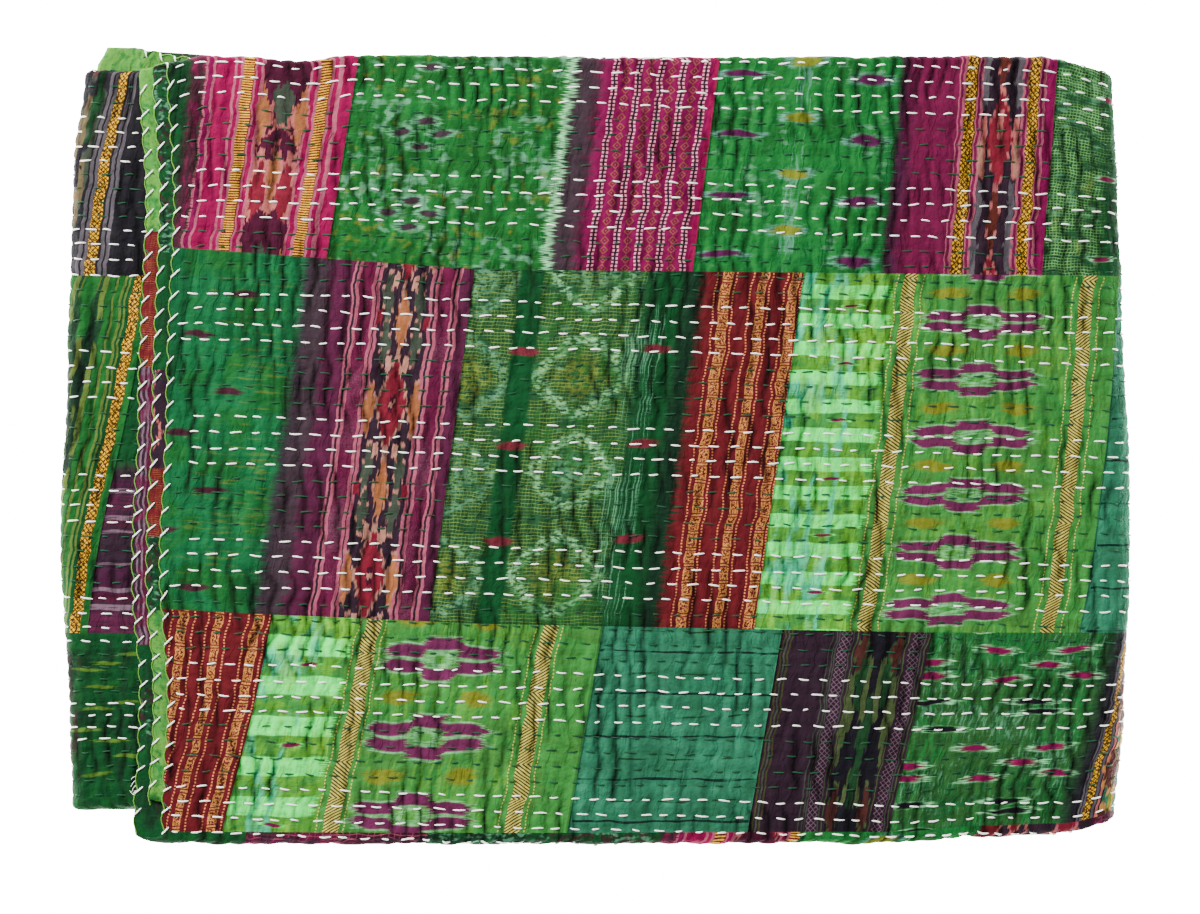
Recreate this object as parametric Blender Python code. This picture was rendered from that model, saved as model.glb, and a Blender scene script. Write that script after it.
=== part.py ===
"""A kantha quilt, folded for a shelf: in three across its width, and then in three along its length.

The quilt is one sheet of stitched sari cloth. It is made flat, as a thin slab with u along the length,
v across the width and w through the cloth. Two folds then map every point of the slab: the first
lays three panels on each other, and the second turns that pack round twice, into three packs that lie
one on another. Both folds keep each layer clear of the next, so the slab stays one solid.
"""

import math
from collections import namedtuple

import bmesh
import bpy

MM = 0.001

# The flat quilt
WIDTH = 2134 * MM
LENGTH = 2780 * MM
CLOTH = 3.0 * MM  # several layers of sari cloth, with the puckers that the stitching draws up

# The folded pack, and where its folds lie
LAYER_PITCH = 4.3 * MM  # from the middle of one layer to the middle of the next
PACK_GAP = 2.0 * MM  # between one pack of three layers and the pack on it
RIGHT_TIP = 491 * MM
LEFT_TIP = -490 * MM
TOP_TIP = 356.5 * MM
BOTTOM_TIP = -368.5 * MM
SIDE_EDGE_X = -406 * MM  # the free side edge of the top pack's middle layer
TUCKED_EDGE_Y = 352 * MM  # the free edge of the lowest panel, by the top fold
BOTTOM_CREASE = 11.1 * MM  # from the bottom fold's tip to the stitched row that creases it
FLAT_CREASES = 50  # rows of quilting between that crease and the top fold

HALF = CLOTH / 2
PACK = 2 * LAYER_PITCH + CLOTH
PACK_PITCH = PACK + PACK_GAP
LEFT_RADIUS = PACK_PITCH / 2
RIGHT_RADIUS = PACK_PITCH
BOTTOM_Z = PACK / 2
MIDDLE_Z = BOTTOM_Z + PACK_PITCH
TOP_Z = BOTTOM_Z + 2 * PACK_PITCH
RIGHT_X = RIGHT_TIP - RIGHT_RADIUS - PACK / 2
LEFT_X = LEFT_TIP + LEFT_RADIUS + PACK / 2

# Lengths along the cloth, from the top pack's free side edge
U_RIGHT = RIGHT_X - SIDE_EDGE_X + math.pi * RIGHT_RADIUS  # where the bottom pack starts
U_LEFT = U_RIGHT + RIGHT_X - LEFT_X  # where it ends and turns up into the middle pack

# Lengths across the cloth: the lowest panel, the bottom fold, the face, the top fold, the inner panel
TOP_RADIUS = LAYER_PITCH / 2
TOP_Y = TOP_TIP - TOP_RADIUS - HALF
BOTTOM_Y = BOTTOM_TIP + LAYER_PITCH + HALF
V_BOTTOM = TUCKED_EDGE_Y - BOTTOM_Y
V_FACE = V_BOTTOM + math.pi * LAYER_PITCH
V_TOP = V_FACE + TOP_Y - BOTTOM_Y
V_INNER = V_TOP + math.pi * TOP_RADIUS
V_CREASE = V_FACE + BOTTOM_TIP + BOTTOM_CREASE - BOTTOM_Y
ROW_PITCH = (V_TOP - V_CREASE) / FLAT_CREASES

# The quilting: each row of running stitch draws a shallow trough, and the cloth stands up between rows
ROW_RELIEF = 0.45 * MM
CREASE_RELIEF = 1.2 * MM
ROWS_A_CELL = 5
STRIP_SHOWN = 125 * MM  # how far the middle pack shows past the side edges of the top one
EDGE_CELL = 14 * MM  # the whipped side edge, over which the rows fade out
CORNER_CELL = 45 * MM

# How uneven the folded pack is. Each table eases from one row to the next.
Shift = namedtuple("Shift", "at by")


def table(*rows):
    return [Shift(at * MM, by * MM) for at, by in rows]


# Along the cloth from its free side edge: how far the top fold, then the bottom fold, is drawn in
TOP_FOLD_IN = table(
    (0, -6), (45, 0), (76, 0), (125, -4.5), (178, 1), (520, -1), (815, 0), (900, -16), (940, -13),
    (1869, -11), (2780, -6),
)
BOTTOM_FOLD_IN = table(
    (0, 3), (14, 0), (330, -1), (670, 0), (763, 6), (830, 8), (905, 22), (960, 26), (1869, 27),
    (1944, 31), (1965, 29), (2780, 15),
)
# Along the cloth from the left fold: how far the lowest panel's free edge lies past the top fold's line
TUCKED_EDGE_OUT = table((-220, 0), (-70, 26.5), (32, 26.5), (113, 17), (168, 15.5), (330, 0))
# From front to back: the outward swell of the right fold, the left fold and the free side edges
RIGHT_SWELL = table(
    (-360, -10), (-235, 0), (-110, 6), (-20, 5), (142, -2), (225, -5.5), (360, -11),
)
LEFT_SWELL = table(
    (-342, -6), (-250, -3), (-90, 5.5), (75, -1), (188, -5), (260, -7), (345, -18), (368, -28),
)
SIDE_EDGE_WAVE = table(
    (-358, -6), (-235, -1), (-120, -8), (40, -2), (225, 5), (345, -1),
)
HEIGHT_WAVE = 0.045  # share of the height by which the pack swells and sinks


def ease(share):
    share = min(max(share, 0.0), 1.0)
    return share * share * (3 - 2 * share)


def read(rows, at):
    """What a table says at a place."""
    if at <= rows[0].at:
        return rows[0].by
    for low, high in zip(rows, rows[1:]):
        if at <= high.at:
            return low.by + (high.by - low.by) * ease((at - low.at) / (high.at - low.at))
    return rows[-1].by


def fold_across(v):
    """The fold across: the cloth's middle line at v, as y, its level in the pack, and its normal."""
    if v <= V_BOTTOM:
        return TUCKED_EDGE_Y - v, -LAYER_PITCH, 0.0, -1.0
    if v < V_FACE:
        turn = (v - V_BOTTOM) / LAYER_PITCH
        normal_y, normal_z = -math.sin(turn), -math.cos(turn)
        return BOTTOM_Y + LAYER_PITCH * normal_y, LAYER_PITCH * normal_z, normal_y, normal_z
    if v <= V_TOP:
        return BOTTOM_Y + v - V_FACE, LAYER_PITCH, 0.0, 1.0
    if v < V_INNER:
        turn = (v - V_TOP) / TOP_RADIUS
        normal_y, normal_z = math.sin(turn), math.cos(turn)
        return TOP_Y + TOP_RADIUS * normal_y, TOP_RADIUS * (1 + normal_z), normal_y, normal_z
    return TOP_Y - (v - V_INNER), 0.0, 0.0, -1.0


def fold_along(u, level, offset):
    """The fold along: x and z of a point that is offset from the pack's middle, on a layer at level.

    A layer keeps its own length round each turn, which is what steps the free side edges."""
    right = RIGHT_RADIUS + level
    left = LEFT_RADIUS + level
    if u <= U_RIGHT - math.pi * right:
        return RIGHT_X - (U_RIGHT - u - math.pi * right), TOP_Z + offset
    if u < U_RIGHT:
        turn = (U_RIGHT - u) / right
        reach = RIGHT_RADIUS + offset
        return RIGHT_X + reach * math.sin(turn), BOTTOM_Z + RIGHT_RADIUS - reach * math.cos(turn)
    if u <= U_LEFT:
        return RIGHT_X - (u - U_RIGHT), BOTTOM_Z - offset
    turn = (u - U_LEFT) / left
    if turn < math.pi:
        reach = LEFT_RADIUS + offset
        return LEFT_X - reach * math.sin(turn), BOTTOM_Z + LEFT_RADIUS - reach * math.cos(turn)
    return LEFT_X + (u - U_LEFT - math.pi * left), MIDDLE_Z + offset


def quilting(u, v, w):
    """How far a point of the face rises between the rows of stitching, or sinks at one."""
    if w < 0 or not V_CREASE - 1e-6 <= v <= V_TOP + 1e-6:
        return 0.0
    shown = 1 - ease((u - (U_RIGHT - 22 * MM)) / (20 * MM))
    strip_end = U_LEFT + math.pi * (LEFT_RADIUS + LAYER_PITCH) + STRIP_SHOWN
    shown += ease((u - U_LEFT - 8 * MM) / (12 * MM)) * (1 - ease((u - strip_end) / (10 * MM)))
    shown *= ease(u / EDGE_CELL)
    row = (v - V_CREASE) / ROW_PITCH
    deep = CREASE_RELIEF if row < 0.25 else ROW_RELIEF
    return -shown * deep * math.cos(2 * math.pi * row)


def swells(x, y):
    """A slow rise and fall over the pack, between -1 and 1."""
    slow = math.sin(5.3 * x + 4.1 * y + 0.6) + 0.7 * math.sin(-8.7 * x + 6.4 * y + 2.1)
    return (slow + 0.5 * math.sin(13.9 * x + 15.2 * y + 4.4)) / 2.2


def folded(u, v, w):
    """Where a point of the flat slab lies in the folded quilt."""
    y, level, normal_y, normal_z = fold_across(v)
    w += quilting(u, v, w)
    y += w * normal_y
    offset = level + w * normal_z

    near_top = ease((y / TOP_Y - 0.45) / 0.5)
    near_bottom = ease((y / BOTTOM_Y - 0.45) / 0.5)
    free = 1 - ease(v / (90 * MM))
    y += near_top * read(TOP_FOLD_IN, u) + near_bottom * read(BOTTOM_FOLD_IN, u)
    y += free * read(TUCKED_EDGE_OUT, u - U_LEFT)

    x, z = fold_along(u, level, offset)
    near_right = ease((x - 150 * MM) / (320 * MM))
    x += near_right * read(RIGHT_SWELL, y)
    if u < U_RIGHT:
        x += ease((-x - 230 * MM) / (160 * MM)) * read(SIDE_EDGE_WAVE, y)
    else:
        x -= ease((-x - 340 * MM) / (140 * MM)) * read(LEFT_SWELL, y)
    z *= 1 + HEIGHT_WAVE * swells(x, y)
    return x, y, z


def spread(start, end, cells):
    """The lines that cut a stretch into equal cells, without its start."""
    return [start + (end - start) * line / cells for line in range(1, cells + 1)]


def lines_along():
    """Where the slab is cut across its length: closely in the turns, and apart on the flats."""
    turn_in = U_RIGHT - math.pi * (RIGHT_RADIUS + LAYER_PITCH)
    tight = U_LEFT + math.pi * (LEFT_RADIUS - LAYER_PITCH)
    turn_out = U_LEFT + math.pi * (LEFT_RADIUS + LAYER_PITCH)
    strip_end = turn_out + STRIP_SHOWN
    lines = [EDGE_CELL, CORNER_CELL] + spread(CORNER_CELL, turn_in, 9)
    lines += spread(turn_in, U_RIGHT, 9) + spread(U_RIGHT, U_LEFT, 8)
    lines += spread(U_LEFT, tight, 3) + spread(tight, turn_out, 5)
    lines += spread(turn_out, strip_end, 2) + spread(strip_end, LENGTH, 5)
    return lines[:-1]


def lines_across():
    lines = spread(0, V_BOTTOM, 6) + spread(V_BOTTOM, V_FACE, 6)
    lines += [V_CREASE] + spread(V_CREASE, V_TOP, FLAT_CREASES // ROWS_A_CELL)
    lines += spread(V_TOP, V_INNER, 5) + spread(V_INNER, WIDTH, 6)
    return lines[:-1]


def cut_slab():
    """The flat slab, cut into cells, with the face's cells split at each row of quilting."""
    slab = bmesh.new()
    bmesh.ops.create_cube(slab, size=1.0)
    bmesh.ops.translate(slab, verts=slab.verts, vec=(0.5, 0.5, 0.0))
    bmesh.ops.scale(slab, verts=slab.verts, vec=(LENGTH, WIDTH, CLOTH))
    for lines, normal in ((lines_along(), (1, 0, 0)), (lines_across(), (0, 1, 0))):
        for line in lines:
            whole = slab.verts[:] + slab.edges[:] + slab.faces[:]
            at = [line * side for side in normal]
            bmesh.ops.bisect_plane(slab, geom=whole, dist=1e-7, plane_co=at, plane_no=normal)

    strip_end = U_LEFT + math.pi * (LEFT_RADIUS + LAYER_PITCH) + STRIP_SHOWN

    def on_shown_face(edge):
        start, end = sorted((vert.co for vert in edge.verts), key=lambda co: co.y)
        crosses_rows = end.y - start.y > ROW_PITCH
        on_face = start.z > 0 and end.z > 0 and V_CREASE - 1e-6 < start.y and end.y < V_TOP + 1e-6
        shown = start.x < U_RIGHT - 15 * MM or U_LEFT + 15 * MM < start.x < strip_end + 1e-6
        return crosses_rows and on_face and shown

    edges = [edge for edge in slab.edges if on_shown_face(edge)]
    bmesh.ops.subdivide_edges(slab, edges=edges, cuts=2 * ROWS_A_CELL - 1, use_grid_fill=True)
    beside = [face for face in slab.faces if len(face.verts) > 4]
    bmesh.ops.poke(slab, faces=beside)
    return slab


def patchwork_cloth():
    material = bpy.data.materials.new("patchwork_cloth")
    material.use_nodes = True
    shader = material.node_tree.nodes["Principled BSDF"]
    shader.inputs["Base Color"].default_value = (0.035, 0.16, 0.045, 1.0)
    shader.inputs["Roughness"].default_value = 0.85
    shader.inputs["Metallic"].default_value = 0.0
    return material


def main():
    for thing in list(bpy.data.objects):
        bpy.data.objects.remove(thing)
    slab = cut_slab()
    for vert in slab.verts:
        vert.co = folded(*vert.co)
    for axis in (0, 1):
        places = [vert.co[axis] for vert in slab.verts]
        centre = (min(places) + max(places)) / 2
        for vert in slab.verts:
            vert.co[axis] -= centre
    bmesh.ops.recalc_face_normals(slab, faces=slab.faces)
    mesh = bpy.data.meshes.new("quilt")
    slab.to_mesh(mesh)
    slab.free()
    mesh.materials.append(patchwork_cloth())
    mesh.shade_smooth()
    mesh.set_sharp_from_angle(angle=math.radians(50))
    quilt = bpy.data.objects.new("quilt", mesh)
    bpy.context.scene.collection.objects.link(quilt)


main()
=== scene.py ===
"""A kantha quilt: patched sari cloth in several layers, held by rows of running stitch, and folded.

The quilt is made flat and then folded, as the real one is. Places on the flat quilt are u along its
length, v across its width and w through the cloth, in metres. Places on one patch of cloth, which the
cloth's materials read, are its width and its height in millimetres.
"""

import math
import random
from bisect import bisect_left
from collections import namedtuple

import bmesh
import bpy
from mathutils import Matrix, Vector, noise


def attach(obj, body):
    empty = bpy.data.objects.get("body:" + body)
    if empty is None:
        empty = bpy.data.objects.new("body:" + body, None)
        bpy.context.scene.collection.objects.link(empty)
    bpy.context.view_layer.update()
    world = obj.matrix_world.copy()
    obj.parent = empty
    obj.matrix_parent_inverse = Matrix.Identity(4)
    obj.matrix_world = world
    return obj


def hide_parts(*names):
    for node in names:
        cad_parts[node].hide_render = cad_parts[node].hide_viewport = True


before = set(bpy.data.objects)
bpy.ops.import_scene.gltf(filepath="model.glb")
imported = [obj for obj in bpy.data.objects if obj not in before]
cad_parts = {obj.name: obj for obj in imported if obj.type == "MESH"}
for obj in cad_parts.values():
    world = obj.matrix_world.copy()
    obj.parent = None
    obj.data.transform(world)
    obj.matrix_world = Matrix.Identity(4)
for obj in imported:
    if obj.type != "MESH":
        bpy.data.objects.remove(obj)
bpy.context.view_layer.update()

# ---- The folded cloth ----
# One sheet, 2.13 m wide and 2.78 m long, of patched sari cloth on inner layers of worn cloth. It is
# folded in three across its width and then in three along its length. The stitching draws it up into
# channels with puckers between them.

MM = 0.001
WIDTH = 2134 * MM
LENGTH = 2780 * MM
CLOTH = 3.0 * MM  # how thick it is

# Folded across, the cloth is a pack of three layers. Folded along, it is three packs on each other. A
# tip is how far out a fold reaches, and a level is a layer's height in its pack.
LAYER_PITCH = 4.3 * MM
PACK_GAP = 2.0 * MM
RIGHT_TIP = 491 * MM
LEFT_TIP = -490 * MM
TOP_TIP = 356.5 * MM
BOTTOM_TIP = -368.5 * MM
SIDE_EDGE_X = -406 * MM
TUCKED_EDGE_Y = 352 * MM
BOTTOM_CREASE = 11.1 * MM
FLAT_CREASES = 50
FOLDED_CENTRE = (0.66 * MM, -0.99 * MM)

HAIR = 0.001 * MM  # two places closer than this count as one
HALF = CLOTH / 2
PACK = 2 * LAYER_PITCH + CLOTH
PACK_PITCH = PACK + PACK_GAP
LEFT_RADIUS = PACK_PITCH / 2
RIGHT_RADIUS = PACK_PITCH
BOTTOM_Z = PACK / 2
MIDDLE_Z = BOTTOM_Z + PACK_PITCH
TOP_Z = BOTTOM_Z + 2 * PACK_PITCH
RIGHT_X = RIGHT_TIP - RIGHT_RADIUS - PACK / 2
LEFT_X = LEFT_TIP + LEFT_RADIUS + PACK / 2
U_RIGHT = RIGHT_X - SIDE_EDGE_X + math.pi * RIGHT_RADIUS
U_LEFT = U_RIGHT + RIGHT_X - LEFT_X
TOP_RADIUS = LAYER_PITCH / 2
TOP_Y = TOP_TIP - TOP_RADIUS - HALF
BOTTOM_Y = BOTTOM_TIP + LAYER_PITCH + HALF
V_BOTTOM = TUCKED_EDGE_Y - BOTTOM_Y
V_FACE = V_BOTTOM + math.pi * LAYER_PITCH
V_TOP = V_FACE + TOP_Y - BOTTOM_Y
V_INNER = V_TOP + math.pi * TOP_RADIUS
V_CREASE = V_FACE + BOTTOM_TIP + BOTTOM_CREASE - BOTTOM_Y
ROW_PITCH = (V_TOP - V_CREASE) / FLAT_CREASES
TURN_IN = U_RIGHT - math.pi * (RIGHT_RADIUS + LAYER_PITCH)
TURN_OUT = U_LEFT + math.pi * (LEFT_RADIUS + LAYER_PITCH)
STRIP_END = TURN_OUT + 125 * MM

Shift = namedtuple("Shift", "at by")


def table(*rows):
    """Places and what belongs to each, both given in millimetres."""
    return [Shift(at * MM, by * MM) for at, by in rows]


# How far the folds and the free edges are drawn in, or stand out, at places along them
TOP_FOLD_IN = table(
    (0, -6), (45, 0), (76, 0), (125, -4.5), (178, 1), (520, -1), (815, 0), (900, -16), (940, -13),
    (1869, -11), (2780, -6),
)
BOTTOM_FOLD_IN = table(
    (0, 3), (14, 0), (330, -1), (670, 0), (763, 6), (830, 8), (905, 22), (960, 26), (1869, 27),
    (1944, 31), (1965, 29), (2780, 15),
)
TUCKED_EDGE_OUT = table((-220, 0), (-70, 26.5), (32, 26.5), (113, 17), (168, 15.5), (330, 0))
RIGHT_SWELL = table(
    (-360, -10), (-235, 0), (-110, 6), (-20, 5), (142, -2), (225, -5.5), (360, -11),
)
LEFT_SWELL = table(
    (-342, -6), (-250, -3), (-90, 5.5), (75, -1), (188, -5), (260, -7), (345, -18), (368, -28),
)
SIDE_EDGE_WAVE = table((-358, -6), (-235, -1), (-120, -8), (40, -2), (225, 5), (345, -1))
HEIGHT_WAVE = 0.045


def ease(share):
    """A soft step from 0 to 1."""
    share = min(max(share, 0.0), 1.0)
    return share * share * (3 - 2 * share)


def read(rows, at):
    """What a table gives at a place, eased from each of its rows to the next."""
    if at <= rows[0].at:
        return rows[0].by
    for low, high in zip(rows, rows[1:]):
        if at <= high.at:
            return low.by + (high.by - low.by) * ease((at - low.at) / (high.at - low.at))
    return rows[-1].by


def fold_across(v):
    """The fold across: the cloth's middle line at v, as y, its level in the pack, and its normal."""
    if v <= V_BOTTOM:
        return TUCKED_EDGE_Y - v, -LAYER_PITCH, 0.0, -1.0
    if v < V_FACE:
        turn = (v - V_BOTTOM) / LAYER_PITCH
        normal_y, normal_z = -math.sin(turn), -math.cos(turn)
        return BOTTOM_Y + LAYER_PITCH * normal_y, LAYER_PITCH * normal_z, normal_y, normal_z
    if v <= V_TOP:
        return BOTTOM_Y + v - V_FACE, LAYER_PITCH, 0.0, 1.0
    if v < V_INNER:
        turn = (v - V_TOP) / TOP_RADIUS
        normal_y, normal_z = math.sin(turn), math.cos(turn)
        return TOP_Y + TOP_RADIUS * normal_y, TOP_RADIUS * (1 + normal_z), normal_y, normal_z
    return TOP_Y - (v - V_INNER), 0.0, 0.0, -1.0


def fold_along(u, level, offset):
    """The fold along: x and z of a point that is offset from the pack's middle, on a layer at level."""
    right = RIGHT_RADIUS + level
    left = LEFT_RADIUS + level
    if u <= U_RIGHT - math.pi * right:
        return RIGHT_X - (U_RIGHT - u - math.pi * right), TOP_Z + offset
    if u < U_RIGHT:
        turn = (U_RIGHT - u) / right
        reach = RIGHT_RADIUS + offset
        return RIGHT_X + reach * math.sin(turn), BOTTOM_Z + RIGHT_RADIUS - reach * math.cos(turn)
    if u <= U_LEFT:
        return RIGHT_X - (u - U_RIGHT), BOTTOM_Z - offset
    turn = (u - U_LEFT) / left
    if turn < math.pi:
        reach = LEFT_RADIUS + offset
        return LEFT_X - reach * math.sin(turn), BOTTOM_Z + LEFT_RADIUS - reach * math.cos(turn)
    return LEFT_X + (u - U_LEFT - math.pi * left), MIDDLE_Z + offset


def swells(x, y):
    """Broad rises and dips of the whole pile, from about -1 to 1."""
    slow = math.sin(5.3 * x + 4.1 * y + 0.6) + 0.7 * math.sin(-8.7 * x + 6.4 * y + 2.1)
    return (slow + 0.5 * math.sin(13.9 * x + 15.2 * y + 4.4)) / 2.2


def ruffle(u):
    """How far a long fold wanders in and out along its tip, as the stitching draws it up."""
    short, long = noise.noise(Vector((u / 0.013, 6.1, 0.3))), noise.noise(Vector((u / 0.04, 1.9, 4.4)))
    return (2.4 * short + 1.6 * long) * MM


def folded(u, v, w):
    """Where a point of the flat quilt lies in the folded one."""
    y, level, normal_y, normal_z = fold_across(v)
    y += w * normal_y
    offset = level + w * normal_z
    near_top = ease((y / TOP_Y - 0.45) / 0.5)
    near_bottom = ease((y / BOTTOM_Y - 0.45) / 0.5)
    free = 1 - ease(v / (90 * MM))
    at_tip = ease((BOTTOM_Y + 6 * MM - y) / (10 * MM)) + 0.6 * ease((y - TOP_Y + 6 * MM) / (8 * MM))
    y += at_tip * ruffle(u)
    y += near_top * read(TOP_FOLD_IN, u) + near_bottom * read(BOTTOM_FOLD_IN, u)
    y += free * read(TUCKED_EDGE_OUT, u - U_LEFT)
    x, z = fold_along(u, level, offset)
    near_right = ease((x - 150 * MM) / (320 * MM))
    x += near_right * read(RIGHT_SWELL, y)
    if u < U_RIGHT:
        x += ease((-x - 230 * MM) / (160 * MM)) * read(SIDE_EDGE_WAVE, y)
    else:
        x -= ease((-x - 340 * MM) / (140 * MM)) * read(LEFT_SWELL, y)
    z *= 1 + HEIGHT_WAVE * swells(x, y)
    return Vector((x - FOLDED_CENTRE[0], y - FOLDED_CENTRE[1], z))


# The rows of running stitch slope a little across the quilt. They come in fours, white and green in
# turn. A stitch is kept as its two ends along its row.
ROW_SLOPE = 0.0285
ROWS_OF_ONE_COLOUR = 4
STITCH = 9.3 * MM
STITCH_PITCH = 17.8 * MM
Stitch = namedtuple("Stitch", "start end")


def row_line(row, u):
    """Where a row of stitching runs: a hand-sewn line that wanders about its place."""
    wander = noise.noise(Vector((u / 0.11, row * 0.37, 3.1))) * 1.7 * MM
    wander += noise.noise(Vector((u / 0.025, row * 1.7, 8.4))) * 0.7 * MM
    return V_CREASE + row * ROW_PITCH - ROW_SLOPE * u + wander


FIRST_ROW, LAST_ROW = -2, 107
hand = random.Random(11)
rows_of_stitches = {}
for row in range(FIRST_ROW, LAST_ROW):
    at = hand.uniform(2 * MM, STITCH_PITCH)
    row_pitch = STITCH_PITCH * hand.uniform(0.95, 1.06)
    stitches = []
    while at < 2060 * MM:
        long = STITCH * min(max(hand.gauss(1.0, 0.16), 0.55), 1.4)
        stitches.append(Stitch(at, at + long))
        at += max(row_pitch * hand.uniform(0.86, 1.16), long + 4 * MM)
    rows_of_stitches[row] = stitches

CHANNEL = 0.75 * MM
PINCH = 0.85 * MM
PUCKER = 0.85 * MM
VALLEY = 2.0 * MM
FACE_STANDS = 0.85 * MM  # how far the face stands up between its rows
row_ends = {
    row: [place for stitch in stitches for place in stitch]
    for row, stitches in rows_of_stitches.items()
}


def nearest_end(row, u):
    """How far u is from the nearest place where the row's thread goes through the cloth."""
    ends = row_ends[row]
    after = bisect_left(ends, u)
    return min(abs(u - place) for place in ends[max(after - 1, 0):after + 1])


def valley(u, v):
    """How deep a place lies between the long puckers that the stitching draws up: 0 to 1."""
    bend = 8 * MM * noise.noise(Vector((u / 0.08, v / 0.026, 5.0)))
    drift = 0.9 * noise.noise(Vector((u / 0.09, v / 0.14, 2.2)))
    wave = 0.5 - 0.5 * math.sin(2 * math.pi * ((u + bend) / (14.2 * MM) + drift))
    strong = ease((noise.noise(Vector((u / 0.045, v / 0.06, 1.7))) + 0.3) / 0.5)
    return wave * wave * (0.25 + 0.75 * strong)


def relief(u, v):
    """How far the face rises or sinks: channels at the rows, pinches at the stitches, puckers between."""
    row = round((v - V_CREASE + ROW_SLOPE * u) / ROW_PITCH)
    if row not in rows_of_stitches:
        return 0.0
    off_row = v - row_line(row, u)
    channel = math.exp(-((off_row / (2.9 * MM)) ** 2))
    off_end = nearest_end(row, u)
    pinch = math.exp(-(off_end * off_end + off_row * off_row) / (3.1 * MM) ** 2)
    crumple = noise.noise(Vector((u / 0.021, v / 0.019, 9.2)))
    broad = noise.noise(Vector((u / 0.07, v / 0.05, 2.6)))
    height = (PUCKER * (0.6 * crumple + 0.5 * broad) - VALLEY * valley(u, v)) * (1 - 0.45 * channel)
    height += FACE_STANDS - CHANNEL * channel - PINCH * pinch
    pressed = ease((u - U_RIGHT + 8 * MM) / (16 * MM)) * (1 - ease((u - U_LEFT + 4 * MM) / (14 * MM)))
    if pressed:  # on the underside the cloth is pressed flat, so that nothing stands out of it
        height += pressed * (min(0.55 * height - 0.35 * MM, 0.0) - height)
    turned = ease((v - V_BOTTOM) / (10 * MM)) * ease((V_TOP + 7 * MM - v) / (6 * MM))
    return height * turned


WHIP_PITCH = 19.8 * MM


def whip_place(number):
    """Where a whip stitch pulls an edge in, along that edge."""
    return (number + 0.16 * noise.noise(Vector((number * 0.73, 4.2, 1.1)))) * WHIP_PITCH


def scallop(along):
    """How far an edge is drawn in: most at each whip stitch."""
    number = round(along / WHIP_PITCH)
    off = (along - whip_place(number)) / WHIP_PITCH
    return 1.7 * MM * math.exp(-((off / 0.24) ** 2)) + 0.9 * MM * noise.noise(
        Vector((along / 0.03, 7.7, 0.4))
    )


SIDE_HEM = 14 * MM  # how far in from a side edge its whips draw the cloth
LONG_HEM = 30 * MM
LIP_END = 2190 * MM  # where the lowest panel's long edge goes out of sight
SEWN_END = STRIP_END + 10 * MM


def shaped(u, v, w):
    """A point of the plain flat slab, moved to where the sewn cloth has it."""
    side, top = u, v
    thin = math.sqrt(min(1.0, 0.12 + side / (4 * MM))) * math.sqrt(min(1.0, 0.12 + top / (4 * MM)))
    level = w * thin
    if u < SIDE_HEM:
        u += (1 - u / SIDE_HEM) * scallop(v)
    if v < LONG_HEM and TURN_OUT < u < LIP_END:
        v += (1 - v / LONG_HEM) * scallop(u)
    edge = ease(side / (12 * MM)) * 0.85 + 0.15
    if w > 0 and V_BOTTOM < v < V_INNER + HAIR and u < SEWN_END:
        level += relief(side, v) * edge
    elif w < 0:
        level -= 0.35 * MM * noise.noise(Vector((u / 0.017, v / 0.013, 6.0))) * edge
    return u, v, level


def on_cloth(u, v, lift, side=1):
    """A place that stands off the sewn cloth by lift, in the folded quilt."""
    across, up, level = shaped(u, v, side * HALF)
    return folded(across, up, level + side * lift)


def spread(start, end, cells):
    """Where even cells end, from start to end."""
    return [start + (end - start) * line / cells for line in range(1, cells + 1)]


TIGHT = U_LEFT + math.pi * (LEFT_RADIUS - LAYER_PITCH)
EDGE_LINES = [1.1 * MM, 3.2 * MM, 6.5 * MM, SIDE_HEM]
LINES_ALONG = EDGE_LINES + spread(EDGE_LINES[-1], TURN_IN, 13) + spread(TURN_IN, U_RIGHT, 9)
LINES_ALONG += spread(U_RIGHT, U_LEFT, 8) + spread(U_LEFT, TIGHT, 3) + spread(TIGHT, TURN_OUT, 6)
LINES_ALONG += spread(TURN_OUT, STRIP_END, 2) + spread(STRIP_END, LENGTH, 5)
LINES_ACROSS = EDGE_LINES + [LONG_HEM] + spread(LONG_HEM, V_BOTTOM, 6)
LINES_ACROSS += spread(V_BOTTOM, V_FACE, 7) + [V_CREASE]
LINES_ACROSS += spread(V_CREASE, V_TOP, 10) + spread(V_TOP, V_INNER, 5) + spread(V_INNER, WIDTH, 6)
LONG_CELL = 20 * MM

slab = bmesh.new()
bmesh.ops.create_cube(slab, size=1.0)
bmesh.ops.translate(slab, verts=slab.verts, vec=(0.5, 0.5, 0.0))
bmesh.ops.scale(slab, verts=slab.verts, vec=(LENGTH, WIDTH, CLOTH))
for lines, normal in ((LINES_ALONG[:-1], (1, 0, 0)), (LINES_ACROSS[:-1], (0, 1, 0))):
    for line in lines:
        whole = slab.verts[:] + slab.edges[:] + slab.faces[:]
        at = [line * side for side in normal]
        bmesh.ops.bisect_plane(slab, geom=whole, dist=1e-7, plane_co=at, plane_no=normal)


def span(edge, axis):
    """An edge's two ends along an axis, and whether both are on the face."""
    start, end = sorted(vert.co[axis] for vert in edge.verts)
    return start, end, all(vert.co.z > 0 for vert in edge.verts)


def crosses_rows(edge):
    """Whether a long edge runs across the rows where the cloth shows and needs fine cells."""
    start, end, on_face = span(edge, 1)
    if end - start < LONG_CELL:
        return False
    u = edge.verts[0].co.x
    on_panel = V_CREASE - HAIR < start and end < V_TOP + HAIR
    return u < SIDE_HEM + HAIR or (on_face and on_panel and u < STRIP_END + HAIR)


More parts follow.
